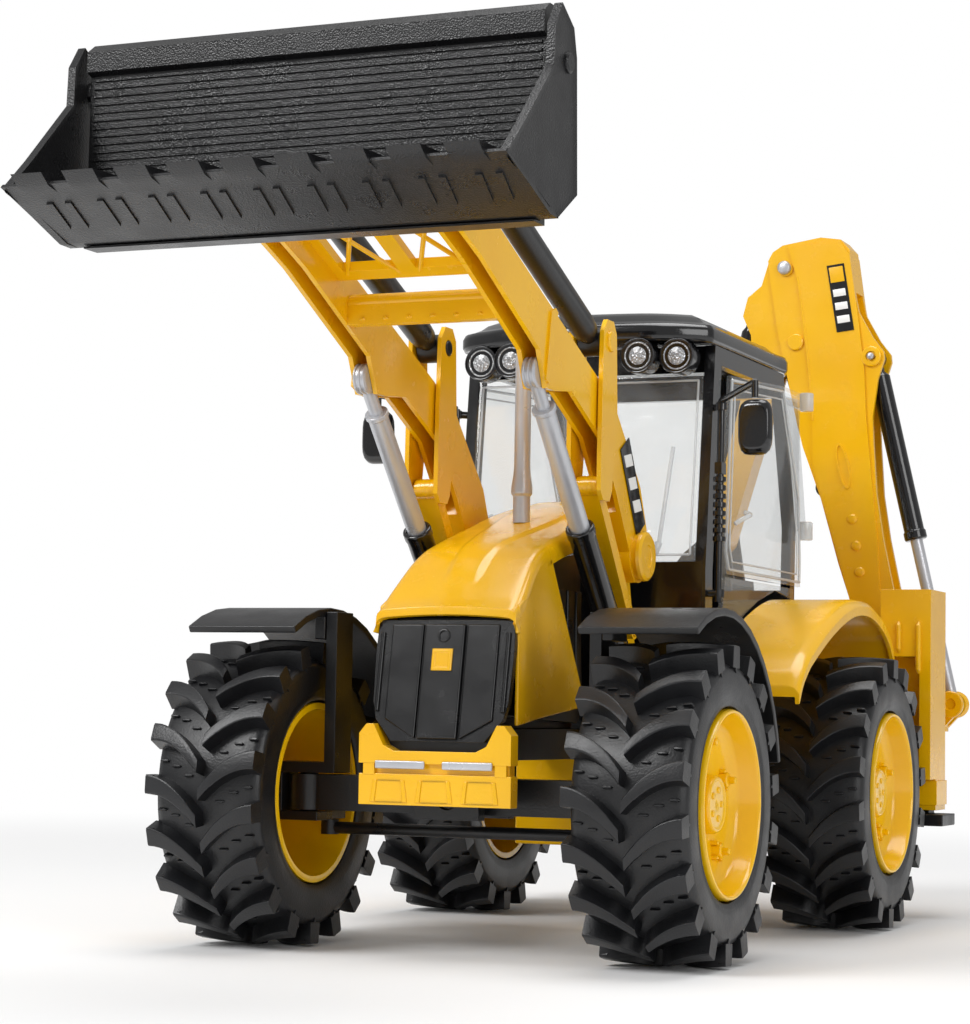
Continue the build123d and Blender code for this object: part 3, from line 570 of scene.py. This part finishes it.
# ---- bonnet and front end -------------------------------------------------------------------
# station, half width, height of the side crease, height of the top
BONNET_LINE = [(-107, 24.0, 106.5, 108.6), (-104, 24.5, 109.3, 111.6), (-98, 24.2, 114, 117),
               (-86, 22.5, 123.2, 126.9), (-83, 22.3, 125.5, 129.5), (-64, 22, 131, 135.5), (-47, 22, 135, 140),
               (-26, 22, 141, 146), (0, 22, 146, 151.5)]
BONNET_FRONT = -107
SHOULDER = 3.2               # width of the rounded side edge of the bonnet


def at_station(line, y):
    """Values of a line of (station, value, ...) points at a station between them."""
    for low, high in zip(line, line[1:]):
        if y <= high[0]:
            t = (y - low[0]) / (high[0] - low[0])
            return [a + (b - a) * t for a, b in zip(low[1:], high[1:])]
    return line[-1][1:]


def softened(y):
    """Station averaged over a few millimetres, so that the line's corners don't show as folds."""
    samples = [at_station(BONNET_LINE, min(max(y + d, BONNET_FRONT), 0)) for d in (-6, -4, -2, 0, 2, 4, 6)]
    return [sum(column) / len(samples) for column in zip(*samples)]


def step(low, high, value):
    t = min(max((value - low) / (high - low), 0), 1)
    return t * t * (3 - 2 * t)


def bonnet():
    shape = Shape("bonnet")
    rows = []
    for n in range(76):
        y = BONNET_FRONT * (1 - n / 75)
        half, edge, top = softened(y)
        columns = [-1, -0.985, -0.95, -0.9, -0.84, -0.76, -0.66, -0.56]
        columns += [k / 28 for k in range(-14, 15)]
        columns += [-c for c in reversed(columns[:8])]
        panel = 5.5 + 6.5 * step(-96, -22, y)
        row = [(-half, y, edge - 3.4)]
        for c in columns:
            x = half * c
            fall = max(0.0, abs(x) - (half - SHOULDER)) / SHOULDER
            z = top - (top - edge) * (1 - math.sqrt(max(0.0, 1 - fall ** 2))) - 1.2 * c ** 2
            z += 0.9 * (1 - step(panel - 0.8, panel + 0.8, abs(x))) * step(-97, -92, y)
            row.append((x, y, z))
        row.append((half, y, edge - 3.4))
        rows.append(row)
    lip = [(x, y - 0.4, z - 2.6) for x, y, z in rows[0]]
    under = [(x * 0.97, y + 2.2, z - 3.0) for x, y, z in rows[0]]
    rows = [under, lip] + rows
    verts = [[shape.bm.verts.new(p) for p in row] for row in rows]
    for low, high in zip(verts, verts[1:]):
        for k in range(len(low) - 1):
            shape.bm.faces.new((low[k], low[k + 1], high[k + 1], high[k]))

    def thicken(piece):
        solid = piece.modifiers.new("wall", "SOLIDIFY")
        solid.thickness = 1.2 * MM
        solid.offset = -1

    shape.finish("bonnet_shell", YELLOW, bevel=0.5, extra=thicken)
    flank = Shape()
    upper_edge = [(-104.2, 110.5), (-98, 113.5), (-83, 124.5), (-72, 127.5), (-43, 85.5)]
    rows = []
    for y in (-104.2, -98, -90, -83, -77, -72, -58, -43):
        half, top, foot = softened(y)[0], at_station(upper_edge, y)[0], 73 + (y + 104) * 0.1
        rows.append([(half, y, foot), (half, y, top), (half - 1.4, y, top), (half - 1.4, y, foot)])
    flank.rings(rows)
    flank.twin().finish("bonnet_flanks", YELLOW, "bonnet", bevel=0.5, slot="yellow_plastic")


def grille_face(z):
    """How far forward the grille stands at a height."""
    return -105.4 - (106 - z) * 0.175


def grille():
    shape = Shape("grille_panel")
    outline = [(-23.4, 106), (-23.8, 96), (-23.2, 80), (-21.8, 74.5), (-16, 67.6),
               (16, 67.6), (21.8, 74.5), (23.2, 80), (23.8, 96), (23.4, 106)]
    shape.rings([[(x, grille_face(z) + depth, z) for x, z in outline] for depth in (2.6, 0.0)])
    panels = ((-18.4, -7.6, 0.9), (-6.8, 6.8, 1.3), (7.6, 18.4, 0.9))
    for low, high, raised in panels:
        feet = [68.6 if abs(x) < 16 else 74.5 for x in (low, high)]
        panel = [(low, 104.6), (low, feet[0]), (high, feet[1]), (high, 104.6)]
        rows = []
        for shrink, depth in ((0, 0.2), (0, raised - 0.3), (0.4, raised)):
            middle = (low + high) / 2
            rows.append([(x + (shrink if x < middle else -shrink), grille_face(z) - depth,
                          z + (shrink if z < 90 else -shrink)) for x, z in panel])
        shape.rings(rows)
    for side in (-1, 1):
        shape.tube([(side * 21.6, grille_face(z) - 0.2, z) for z in (102, 77)], 0.8, 10)
    keyhole = [(-0.5, 2.3), (0.4, 2.2), (0.5, 1.5), (-0.3, 1.3), (-0.3, 0)]
    shape.lathe(keyhole, (0, grille_face(101) - 1.2, 101), (0, -1, 0.17), 28)
    shape.finish("grille_face", GRAINED, bevel=0.5, segments=3)
    badge = Shape()
    rows = []
    for spread, depth in ((3.5, 1.0), (3.5, 1.7), (3.1, 2.0), (2.3, 2.0), (2.2, 1.7)):
        corners = [(-spread, 93.4 - spread), (spread, 93.4 - spread),
                   (spread, 93.4 + spread), (-spread, 93.4 + spread)]
        rows.append([(x, grille_face(z) - depth, z) for x, z in corners])
    badge.rings(rows)
    badge.finish("grille_badge", YELLOW, "bonnet", bevel=0.2, slot="yellow_plastic")


def bumper():
    shape = Shape("front_bumper")
    low, high = box_mm("front_bumper")
    half = high.x
    lower = [(-half, 47.6), (half, 47.6), (half, 57.4), (-half, 57.4)]
    shape.prism(lower, "y", low.y + 0.4, high.y)
    upper = [(-half, 60.6), (half, 60.6), (half, 70), (half - 2.5, 73), (21, 73), (17.6, 66.4),
             (14, 64.6), (-14, 64.6), (-17.6, 66.4), (-21, 73), (2.5 - half, 73), (-half, 70)]
    shape.prism(upper, "y", low.y, high.y)
    shape.box(-half + 1, half - 1, low.y + 1.6, high.y, 56.5, 61.5)
    for x in (-15.5, 0, 15.5):
        rows = []
        for spread, depth in ((6.4, 0.5), (6.4, -0.3), (5.0, -0.5), (4.4, 0.5)):
            corners = [(x - spread, 48.6), (x + spread, 48.6),
                       (x + spread * 0.84, 55.4), (x - spread * 0.84, 55.4)]
            rows.append([(px, low.y + 0.4 + depth, z) for px, z in corners])
        shape.rings(rows)
    for x in (-22.5, 22.5):
        shape.box(x - 2, x + 2, low.y + 0.2, low.y + 2, 57, 61)
    return shape.finish("front_bumper_shell", YELLOW, bevel=0.9, segments=3)


def engine():
    shape = Shape("engine_block").take()
    cover = [(-103, 76), (-101, 107), (-96, 112), (-83, 123), (-64, 127.5), (-40, 131), (-36, 80), (-40, 74)]
    shape.prism(cover, "x", -19.6, 19.6)
    for n in range(7):
        y = -92 + n * 8
        for side in (-1, 1):
            shape.box(side * 19.4, side * 20.2, y, y + 4.5, 80, 118 if y > -80 else 104)
    return shape.finish("engine_cover", BLACK, bevel=0.6)


def exhaust():
    shape = Shape("exhaust_stack")
    stem = [(141, 2.9), (150, 2.9), (151, 3.6), (153, 3.6), (157, 3.0), (160, 2.75), (190, 2.75), (191, 2.75)]
    shape.lathe(stem, (0, -45, 0), (0, 0, 1), 32)
    top = smooth_path([(0, -45, 189), (0, -45, 195), (0, -44, 200), (0, -41.8, 204.2)], 6)
    shape.tube(top, [2.75] * (len(top) - 4) + [2.9, 3.0, 3.0, 2.9], 32)
    return shape.finish("exhaust_pipe", SILVER, bevel=0.2)


# ---- cab ------------------------------------------------------------------------------------
def roof_outline(inset):
    points = [(48, 13), (37, 5.5), (24, 1.5), (0, -0.5), (-24, 1.5), (-37, 5.5), (-48, 13), (-48.4, 30),
              (-48.4, 90), (-48, 106), (-38, 117), (0, 118), (38, 117), (48, 106), (48.4, 90), (48.4, 30)]
    middle = Vector((0, 60))
    loop = points + points[:1]
    path = smooth_path([(x, y, 0) for x, y in loop], 4)[:-1]
    narrow, short = 1 - inset / 48, 1 - inset / 60
    return [((p.x - middle.x) * narrow + middle.x, (p.y - middle.y) * short + middle.y) for p in path]


def cab_roof():
    shape = Shape("cab_roof")
    layers = [(209.0, 1.5), (208.6, 0.6), (210, 0.0), (213.0, 0.0), (214.8, 0.8), (215.6, 3.0), (216.6, 5.0),
              (218.4, 7.0), (220.0, 10.5), (220.8, 16), (221.0, 24)]
    rings = [[(x, y, z) for x, y in roof_outline(inset)] for z, inset in layers]
    shape.rings(rings)
    for place in LAMPS:
        shape.lathe([(0.5, 5.4), (-0.3, 5.9), (0.2, 6.4), (7, 6.6), (10, 5.8), (11, 3)], place, (0, 1, 0), 36)
    return shape.finish("cab_roof_shell", GLOSS_BLACK, bevel=0)


LAMPS = [(side * x, y, 203.3) for x, y in ((37.3, 5.0), (24.2, 0.9)) for side in (-1, 1)]


def roof_lamps():
    lens = Shape("roof_lamps")
    dish = [(6, 5.0), (0.8, 5.2), (0.4, 4.9), (0.3, 4.5), (0.9, 4.2), (0.5, 3.2), (0.1, 1.8), (0.0, 0.0)]
    for place in LAMPS:
        lens.lathe(dish, place, (0, 1, 0), 40)
    return lens.finish("roof_lamp_lenses", LENS, bevel=0)


def cab_frame():
    shape = Shape("cab_frame").take()
    for side in (-1, 1):
        for z in range(138, 160, 3):
            shape.lathe([(0, 1.4), (0.3, 2.3), (1.9, 2.3), (2.2, 1.4)], (side * 51, 13.8, z), (0, 0.03, 1), 20)
        for z in (120, 186):
            place = (side * 51, 14 + (z - 120) * 0.015, z)
            shape.lathe([(-1.6, 1.3), (-1.4, 2.0), (1.4, 2.0), (1.6, 1.3)], place, (0, 0.03, 1), 20)
        shape.box(side * 49.8, side * 52.4, 11.4, 16.6, 162, 166)
    shape.lathe([(0, 4), (2, 4), (8, 2.4)], (0, 22, 96), (0, 0.5, 0.866), 24)
    return shape.finish("cab_frame_pillars", GLOSS_BLACK, bevel=0.9, segments=3)


def windows():
    shape = Shape("cab_windows").take()
    shape.inset((0, -1, 0.1), 1500, 2.4, 0.35)
    shape.inset((0, -1, 0.1), 1500, 1.4, -0.35)
    shape.finish("cab_window_panes", CLEAR, bevel=0.25)
    trim = Shape()
    loop = [(-41.5, 10.0, 133.5), (41.5, 10.0, 133.5), (41.5, 17.8, 196), (-41.5, 17.8, 196)]
    for a, b in zip(loop, loop[1:] + loop[:1]):
        trim.tube([a, b], 0.45, 8)
    trim.tube([(30, 10.2, 138), (33.5, 14.2, 172)], 0.8, 8)
    trim.tube([(28.5, 9.9, 134), (30, 10.2, 138)], 1.4, 8)
    trim.finish("windscreen_trim", CLEAR_EDGE, "root", bevel=0, slot="clear_plastic")


def door(side_name):
    node = "door_" + side_name
    side = 1 if side_name == "left" else -1
    shape = Shape(node).take()
    shape.inset((1, 0, 0), 2000, 3.0, 0.45)
    shape.inset((1, 0, 0), 2000, 1.8, -0.45)
    shape.finish(node + "_panel", CLEAR, bevel=0.3)
    trim = Shape()
    outer = [(31, 198), (96, 201.5), (117.5, 162), (120, 137), (119.5, 128.8), (29, 128.8), (25.6, 135)]
    middle = Vector((75, 163))
    for scale, radius in ((0.985, 0.55), (0.90, 0.35)):
        loop = [(middle + (Vector(p) - middle) * scale) for p in outer]
        points = [Vector((side * 49.5, p.x, p.y)) for p in loop]
        for a, b in zip(points, points[1:] + points[:1]):
            trim.tube([a, b], radius, 8)
    handle = [(side * 49.6, 36, 146), (side * 52.2, 38, 148), (side * 52.2, 46, 150), (side * 49.6, 48, 151)]
    trim.tube(smooth_path(handle, 5), 0.9, 10)
    for z in (149.5, 200):
        trim.lathe([(-3.6, 2.3), (-3.2, 2.7), (3.2, 2.7), (3.6, 2.3)], (side * 50.5, 124, z), (0, 0, 1), 24)
    trim.finish(node + "_trim", CLEAR_EDGE, node, bevel=0, slot="clear_plastic")


def mirror(side_name):
    node = "mirror_" + side_name
    low, high = box_mm(node)
    centre = (low + high) / 2
    half_x, half_y, half_z = (high - low) / 2
    shape = Shape(node)
    rings = []
    for depth, scale in ((-1, 0.72), (-0.6, 0.92), (0.5, 1.0), (1, 0.97), (1, 0.82)):
        ring = []
        for k in range(32):
            a = 2 * math.pi * k / 32
            c, s = math.cos(a), math.sin(a)
            stretch = (abs(c) ** 4 + abs(s) ** 4) ** -0.25
            ring.append((centre.x + half_x * scale * stretch * c, centre.y + half_y * depth,
                         centre.z + half_z * scale * stretch * s))
        rings.append(ring)
    shape.rings(rings)
    return shape.finish(node + "_head", GLOSS_BLACK, bevel=0)


def seat():
    shape = Shape("driver_seat")
    cushion = [(56, 90), (56, 95), (59, 97.5), (80, 97), (84, 100), (90, 128), (93, 131), (95.5, 129),
               (91, 98), (86, 90), (60, 88)]
    shape.prism(cushion, "x", -12.6, 12.6)
    shape.prism([(62, 79), (80, 79), (78, 90), (64, 90)], "x", -8, 8)
    bolster = [(58, 97), (78, 97), (86, 126), (89.5, 127), (83, 99), (79, 95), (58, 95.5)]
    for side in (-1, 1):
        shape.prism(bolster, "x", side * 9.4, side * 12.4)
    return shape.finish("driver_seat_shell", BLACK, bevel=1.6, segments=3)


FENDER_LINE = [(2.5, 87.5), (7, 93.5), (13, 98.2), (20, 102), (40, 110.5), (60, 117), (78, 120.6), (96, 120.8),
               (112, 117.4), (124, 112), (131, 105.5), (133.6, 101.5)]


def rear_fenders():
    shape = Shape("rear_fenders")
    high = box_mm("rear_fenders")[1]
    crown = smooth_path([(0, y, z) for y, z in FENDER_LINE], 5)
    band = []
    section = ((50.4, 0.0), (high.x - 5, 0.0), (high.x - 1.6, 0.7), (high.x, 2.6), (high.x, 6.0),
               (high.x - 1.8, 6.0), (high.x - 1.8, 3.6), (50.4, 3.2))
    for x, sink in section:
        band.append([(x, p.y, p.z - sink) for p in crown])
    shape.rings(list(zip(*band)))
    wall = [(p.y, p.z - 0.6) for p in crown] + [(124, 82), (112, 80), (14, 80)]
    shape.prism(wall, "x", 50.3, 52.2)
    shape.twin()
    return shape.finish("rear_fender_shells", YELLOW, bevel=0.5, segments=2, angle=40)


# ---- backhoe --------------------------------------------------------------------------------
# Pins of the backhoe as (x, z) in its own plane, with the boom swung sideways as at rest
HOE_Y = 187.0
BOOM_PIN = (70, 88)
BOOM_EAR = (61.6, 225)
BOOM_RAM_FOOT = (94.2, 83.4)
DIPPER_PIN = (24.6, 263.4)
# ram, barrel pin, rod eye, length of barrel and of rod, radius of barrel and of rod
HOE_RAMS = (("boom_ram", BOOM_EAR, BOOM_RAM_FOOT, 77, 84, 4.1, 2.5),
            ("dipper_ram", (41, 172), (19, 246), 62, 68, 3.5, 2.0),
            ("bucket_ram", (9.4, 245.6), (-15.6, 139.4), 66, 72, 3.5, 2.0))


def boom():
    shape = Shape("boom").take()
    face = HOE_Y - 8
    lean, centre, half_wide, half_long = -0.2, (50.2, 180), 2.9, 9.6
    rows = []
    for inset, depth in ((0, 0.3), (0.3, -0.7), (1.1, -0.7), (1.4, 0.3)):
        row = []
        for k in range(32):
            a = 2 * math.pi * k / 32
            z = (half_long - inset) * math.sin(a)
            row.append((centre[0] + (half_wide - inset) * math.cos(a) + lean * z, face + depth, centre[1] + z))
        rows.append(row)
    shape.rings(rows, loop=True)
    for x, z in ((54.1, 158.3), (55.9, 147.3), (57.4, 136.6)):
        shape.lathe([(-0.4, 2.2), (0.4, 2.1), (1.0, 1.5), (1.2, 0)], (x, face, z), (0, -1, 0), 24)
    shape.lathe([(-0.4, 3.5), (0.9, 3.4), (1.2, 3.0), (1.2, 0)], (29.4, face + 1, 232.1), (0, -1, 0), 28)
    ridge = [(x + 0.4, face + 0.2, z) for x, z in ((29.8, 259.3), (31.9, 246.2), (34.6, 224.4), (36.9, 199.4))]
    for start, end in zip(ridge, ridge[1:]):
        shape.tube([start, end], 0.55, 8)
    boss = [(-1.2, 4.3), (1.0, 4.2), (1.3, 3.8), (1.3, 2.2), (0.6, 2.1), (0.6, 0)]
    shape.lathe(boss, (BOOM_EAR[0], face + 1, BOOM_EAR[1]), (0, -1, 0), 32)
    shape.finish("boom_shell", YELLOW, bevel=0.7, segments=3)
    pins = Shape()
    for place, radius, reach in ((DIPPER_PIN, 2.9, 8), (BOOM_PIN, 2.6, 10.4), (BOOM_EAR, 1.5, 8.3)):
        for toward in (-1, 1):
            pins.lathe([(-1, radius), (1.0, radius * 0.95), (1.4, radius * 0.6), (1.4, 0)],
                       (place[0], HOE_Y + toward * reach, place[1]), (0, toward, 0), 24)
    pins.finish("boom_pin_caps", SILVER, "boom", bevel=0, slot="silver_plastic")
    boom_decal(face)


def boom_decal(face):
    """Plain patch and stripes at the top of the boom."""
    base, bars, patch = Shape(), Shape(), Shape()
    top_left, foot_left = Vector((42.8, 263.2)), Vector((47.3, 235.4))
    run = (foot_left - top_left).normalized()
    over = Vector((7.2, 0.8))
    length = (foot_left - top_left).length

    def corners(start, end, margin):
        near, far = over * margin, over * (1 - margin)
        return [tuple(top_left + run * along + across_by)
                for along, across_by in ((start, near), (start, far), (end, far), (end, near))]

    base.prism(corners(0, length, 0), "y", face - 0.35, face + 0.1)
    patch.prism(corners(1.0, 7.4, 0.1), "y", face - 0.55, face)
    for n in range(3):
        start = 10.4 + n * 5.6
        bars.prism(corners(start, start + 3.0, 0.14), "y", face - 0.55, face)
    base.finish("boom_stripe_base", GLOSS_BLACK, "boom", bevel=0, slot="black_gloss")
    bars.finish("boom_stripe_bars", WHITE, "boom", bevel=0, slot="yellow_plastic")
    patch.finish("boom_stripe_patch", YELLOW, "boom", bevel=0, slot="yellow_plastic")


def kingpost():
    shape = Shape("kingpost").take()
    boss = [(2.8, 1.9), (2.8, 4.6), (4.6, 5.4), (5.6, 5.4), (6.0, 4.9), (6.0, 2.4), (5.4, 2.2), (5.4, 1.9)]
    for toward in (-1, 1):
        shape.lathe(boss, (BOOM_RAM_FOOT[0], HOE_Y, BOOM_RAM_FOOT[1]), (0, toward, 0), 36, closed=True)
    return shape.finish("kingpost_turret", YELLOW, bevel=0.5)


def dipper():
    shape = Shape("dipper").take()
    return shape.finish("dipper_shell", YELLOW, bevel=0.6)


def ram_pair(name, base, tip, barrel_end, rod_length, barrel_radius, rod_radius):
    """Barrel and rod of a backhoe ram; base and tip are (x, z) in the boom's plane."""
    base, tip = Vector((base[0], HOE_Y, base[1])), Vector((tip[0], HOE_Y, tip[1]))
    run = tip - base
    barrel = Shape(name + "_barrel")
    band, bore = barrel_radius + 0.5, rod_radius + 0.1
    tube = [(3, 2.2), (6, 2.4), (8, barrel_radius),
            (barrel_end - 4, barrel_radius), (barrel_end - 3.4, band),
            (barrel_end - 0.6, band), (barrel_end, barrel_radius), (barrel_end, bore), (barrel_end - 15, bore)]
    barrel.lathe(tube, base, run, 36)
    barrel.lathe([(-2.5, 2.1), (-2.5, 4.0), (2.5, 4.0), (2.5, 2.1)], base, (0, 1, 0), 28, closed=True)
    barrel.finish(name + "_barrel_tube", GLOSS_BLACK, bevel=0.2)
    rod = Shape(name + "_rod")
    rod.lathe([(2, rod_radius), (rod_length, rod_radius), (rod_length, 0)], tip, -run, 32)
    eye, groove = 3.3, 2.9
    ring = [(-2.5, eye - 0.5), (-2.2, eye), (-0.9, eye), (-0.7, groove), (0.7, groove), (0.9, eye), (2.2, eye),
            (2.5, eye - 0.5)]
    rod.lathe(ring, tip, (0, 1, 0), 32)
    rod.finish(name + "_rod_steel", SILVER, bevel=0.2)


def backhoe_frame():
    shape = Shape("backhoe_frame").take()
    shape.inset((0, 1, 0), 800, 2.5, -0.6)
    for side in (-1, 1):
        for x, low, high in ((83.5, 103, 115), (91.3, 95, 115)):
            rib = [(side * x, 141, low), (side * x, 140.2, low + 1.5), (side * x, 140.2, high - 1.5),
                   (side * x, 141, high)]
            shape.tube(rib, [0.5, 1.1, 1.1, 0.5], 10)
        shape.box(side * 79.4, side * 96.6, 149.4, 166.5, 44, 53.5)
    return shape.finish("backhoe_frame_shell", YELLOW, bevel=0.8, segments=3)


# ---- everything else keeps the CAD shape, with rounded moulded edges -------------------------
def keep_cad_shapes():
    for node in sorted(NODES):
        if NODES[node].hide_render:
            continue
        Shape(node).take().finish(node + "_moulded", SLOT_MATERIAL[SLOT_OF[node]], bevel=0.5)


# ---- studio ---------------------------------------------------------------------------------
AMBIENT = 0.42               # strength of the backdrop as a light
BACKDROP = 1.0               # and as the camera sees it
FLOOR_LIT = 0.35             # metres from the middle where the floor starts to fade
FLOOR_GONE = 1.1
# name, place, width of the panel in metres, power in watts
LIGHTS = (("key", (-0.7, -1.2, 1.2), 0.7, 20), ("fill", (1.4, -0.9, 0.7), 0.8, 7),
          ("top", (0.1, 0.2, 1.6), 1.0, 13))


def fade_to_backdrop(tree, bsdf):
    """The lit floor runs out into the white backdrop, as on a curved paper sweep."""
    coords = tree.nodes.new("ShaderNodeTexCoord")
    distance = tree.nodes.new("ShaderNodeVectorMath")
    distance.operation = "LENGTH"
    tree.links.new(coords.outputs["Object"], distance.inputs[0])
    fade = tree.nodes.new("ShaderNodeMapRange")
    fade.interpolation_type = "SMOOTHSTEP"
    fade.inputs["From Min"].default_value = FLOOR_LIT
    fade.inputs["From Max"].default_value = FLOOR_GONE
    tree.links.new(distance.outputs["Value"], fade.inputs["Value"])
    backdrop = tree.nodes.new("ShaderNodeEmission")
    backdrop.inputs["Strength"].default_value = BACKDROP
    mix = tree.nodes.new("ShaderNodeMixShader")
    tree.links.new(fade.outputs["Result"], mix.inputs["Fac"])
    tree.links.new(bsdf.outputs["BSDF"], mix.inputs[1])
    tree.links.new(backdrop.outputs["Emission"], mix.inputs[2])
    tree.links.new(mix.outputs["Shader"], tree.nodes["Material Output"].inputs["Surface"])


def studio():
    floor_mesh = bpy.data.meshes.new("floor")
    size = 6.0
    corners = [(-size, -size, 0), (size, -size, 0), (size, size, 0), (-size, size, 0)]
    floor_mesh.from_pydata(corners, [], [(0, 1, 2, 3)])
    floor = bpy.data.objects.new("floor", floor_mesh)
    floor_material, tree, bsdf = new_material("floor_white")
    soft = noise_node(tree, 2)
    colour = ramp_node(tree, soft.outputs["Fac"], grey(0.86), grey(0.88))
    tree.links.new(colour.outputs["Color"], bsdf.inputs["Base Color"])
    bsdf.inputs["Roughness"].default_value = 0.6
    fade_to_backdrop(tree, bsdf)
    floor_mesh.materials.append(floor_material)
    bpy.context.scene.collection.objects.link(floor)
    world = bpy.data.worlds.new("studio")
    world.use_nodes = True
    tree = world.node_tree
    background = tree.nodes["Background"]
    background.inputs["Color"].default_value = (1.0, 1.0, 1.0, 1)
    path = tree.nodes.new("ShaderNodeLightPath")
    strength = tree.nodes.new("ShaderNodeMapRange")
    strength.inputs["To Min"].default_value = AMBIENT
    strength.inputs["To Max"].default_value = BACKDROP
    tree.links.new(path.outputs["Is Camera Ray"], strength.inputs["Value"])
    tree.links.new(strength.outputs["Result"], background.inputs["Strength"])
    bpy.context.scene.world = world
    for name, place, size, power in LIGHTS:
        lamp = bpy.data.lights.new(name, "AREA")
        lamp.size = size
        lamp.energy = power
        body = bpy.data.objects.new(name, lamp)
        body.location = place
        body.rotation_euler = (Vector((0, 0, 0.12)) - Vector(place)).to_track_quat("-Z", "Y").to_euler()
        bpy.context.scene.collection.objects.link(body)


# ---- camera ---------------------------------------------------------------------------------
CAMERA_PLACE = Vector((337.6, -869.5, 77.0))
CAMERA_AZIMUTH = math.radians(23.06)      # round from straight ahead of the bonnet
CAMERA_ELEVATION = math.radians(4.34)     # looking up
CAMERA_ROLL = math.radians(0.97)
CAMERA_LENS = 92.9                        # for a sensor 36 mm wide
SENSOR_WIDTH = 36


def camera():
    lens = bpy.data.cameras.new("camera")
    lens.lens = CAMERA_LENS
    lens.sensor_width = SENSOR_WIDTH
    lens.clip_start = 0.01
    body = bpy.data.objects.new("camera", lens)
    az, el, roll = CAMERA_AZIMUTH, CAMERA_ELEVATION, CAMERA_ROLL
    look = Vector((-math.sin(az) * math.cos(el), math.cos(az) * math.cos(el), math.sin(el)))
    right = look.cross(Vector((0, 0, 1))).normalized()
    up = right.cross(look)
    tilted_right = right * math.cos(roll) + up * math.sin(roll)
    tilted_up = up * math.cos(roll) - right * math.sin(roll)
    turn = Matrix((tilted_right, tilted_up, -look)).transposed().to_4x4()
    body.matrix_world = Matrix.Translation(CAMERA_PLACE * MM + Vector((0, MID_Y, 0))) @ turn
    bpy.context.scene.collection.objects.link(body)
    bpy.context.scene.camera = body


def build():
    for end in ("front", "rear"):
        for side in ("left", "right"):
            tyre(f"tyre_{end}_{side}")
            rim(f"rim_{end}_{side}")
    bucket_back()
    bucket_clam()
    loader_arms()
    arm_stripes()
    bellcranks()
    lift_rams()
    tilt_rams()
    bonnet()
    grille()
    bumper()
    engine()
    exhaust()
    cab_roof()
    roof_lamps()
    cab_frame()
    windows()
    for side in ("left", "right"):
        door(side)
        mirror(side)
    seat()
    rear_fenders()
    boom()
    kingpost()
    dipper()
    for ram in HOE_RAMS:
        ram_pair(*ram)
    backhoe_frame()
    keep_cad_shapes()
    studio()
    camera()


build()
bpy.context.scene.view_settings.view_transform = "Standard"
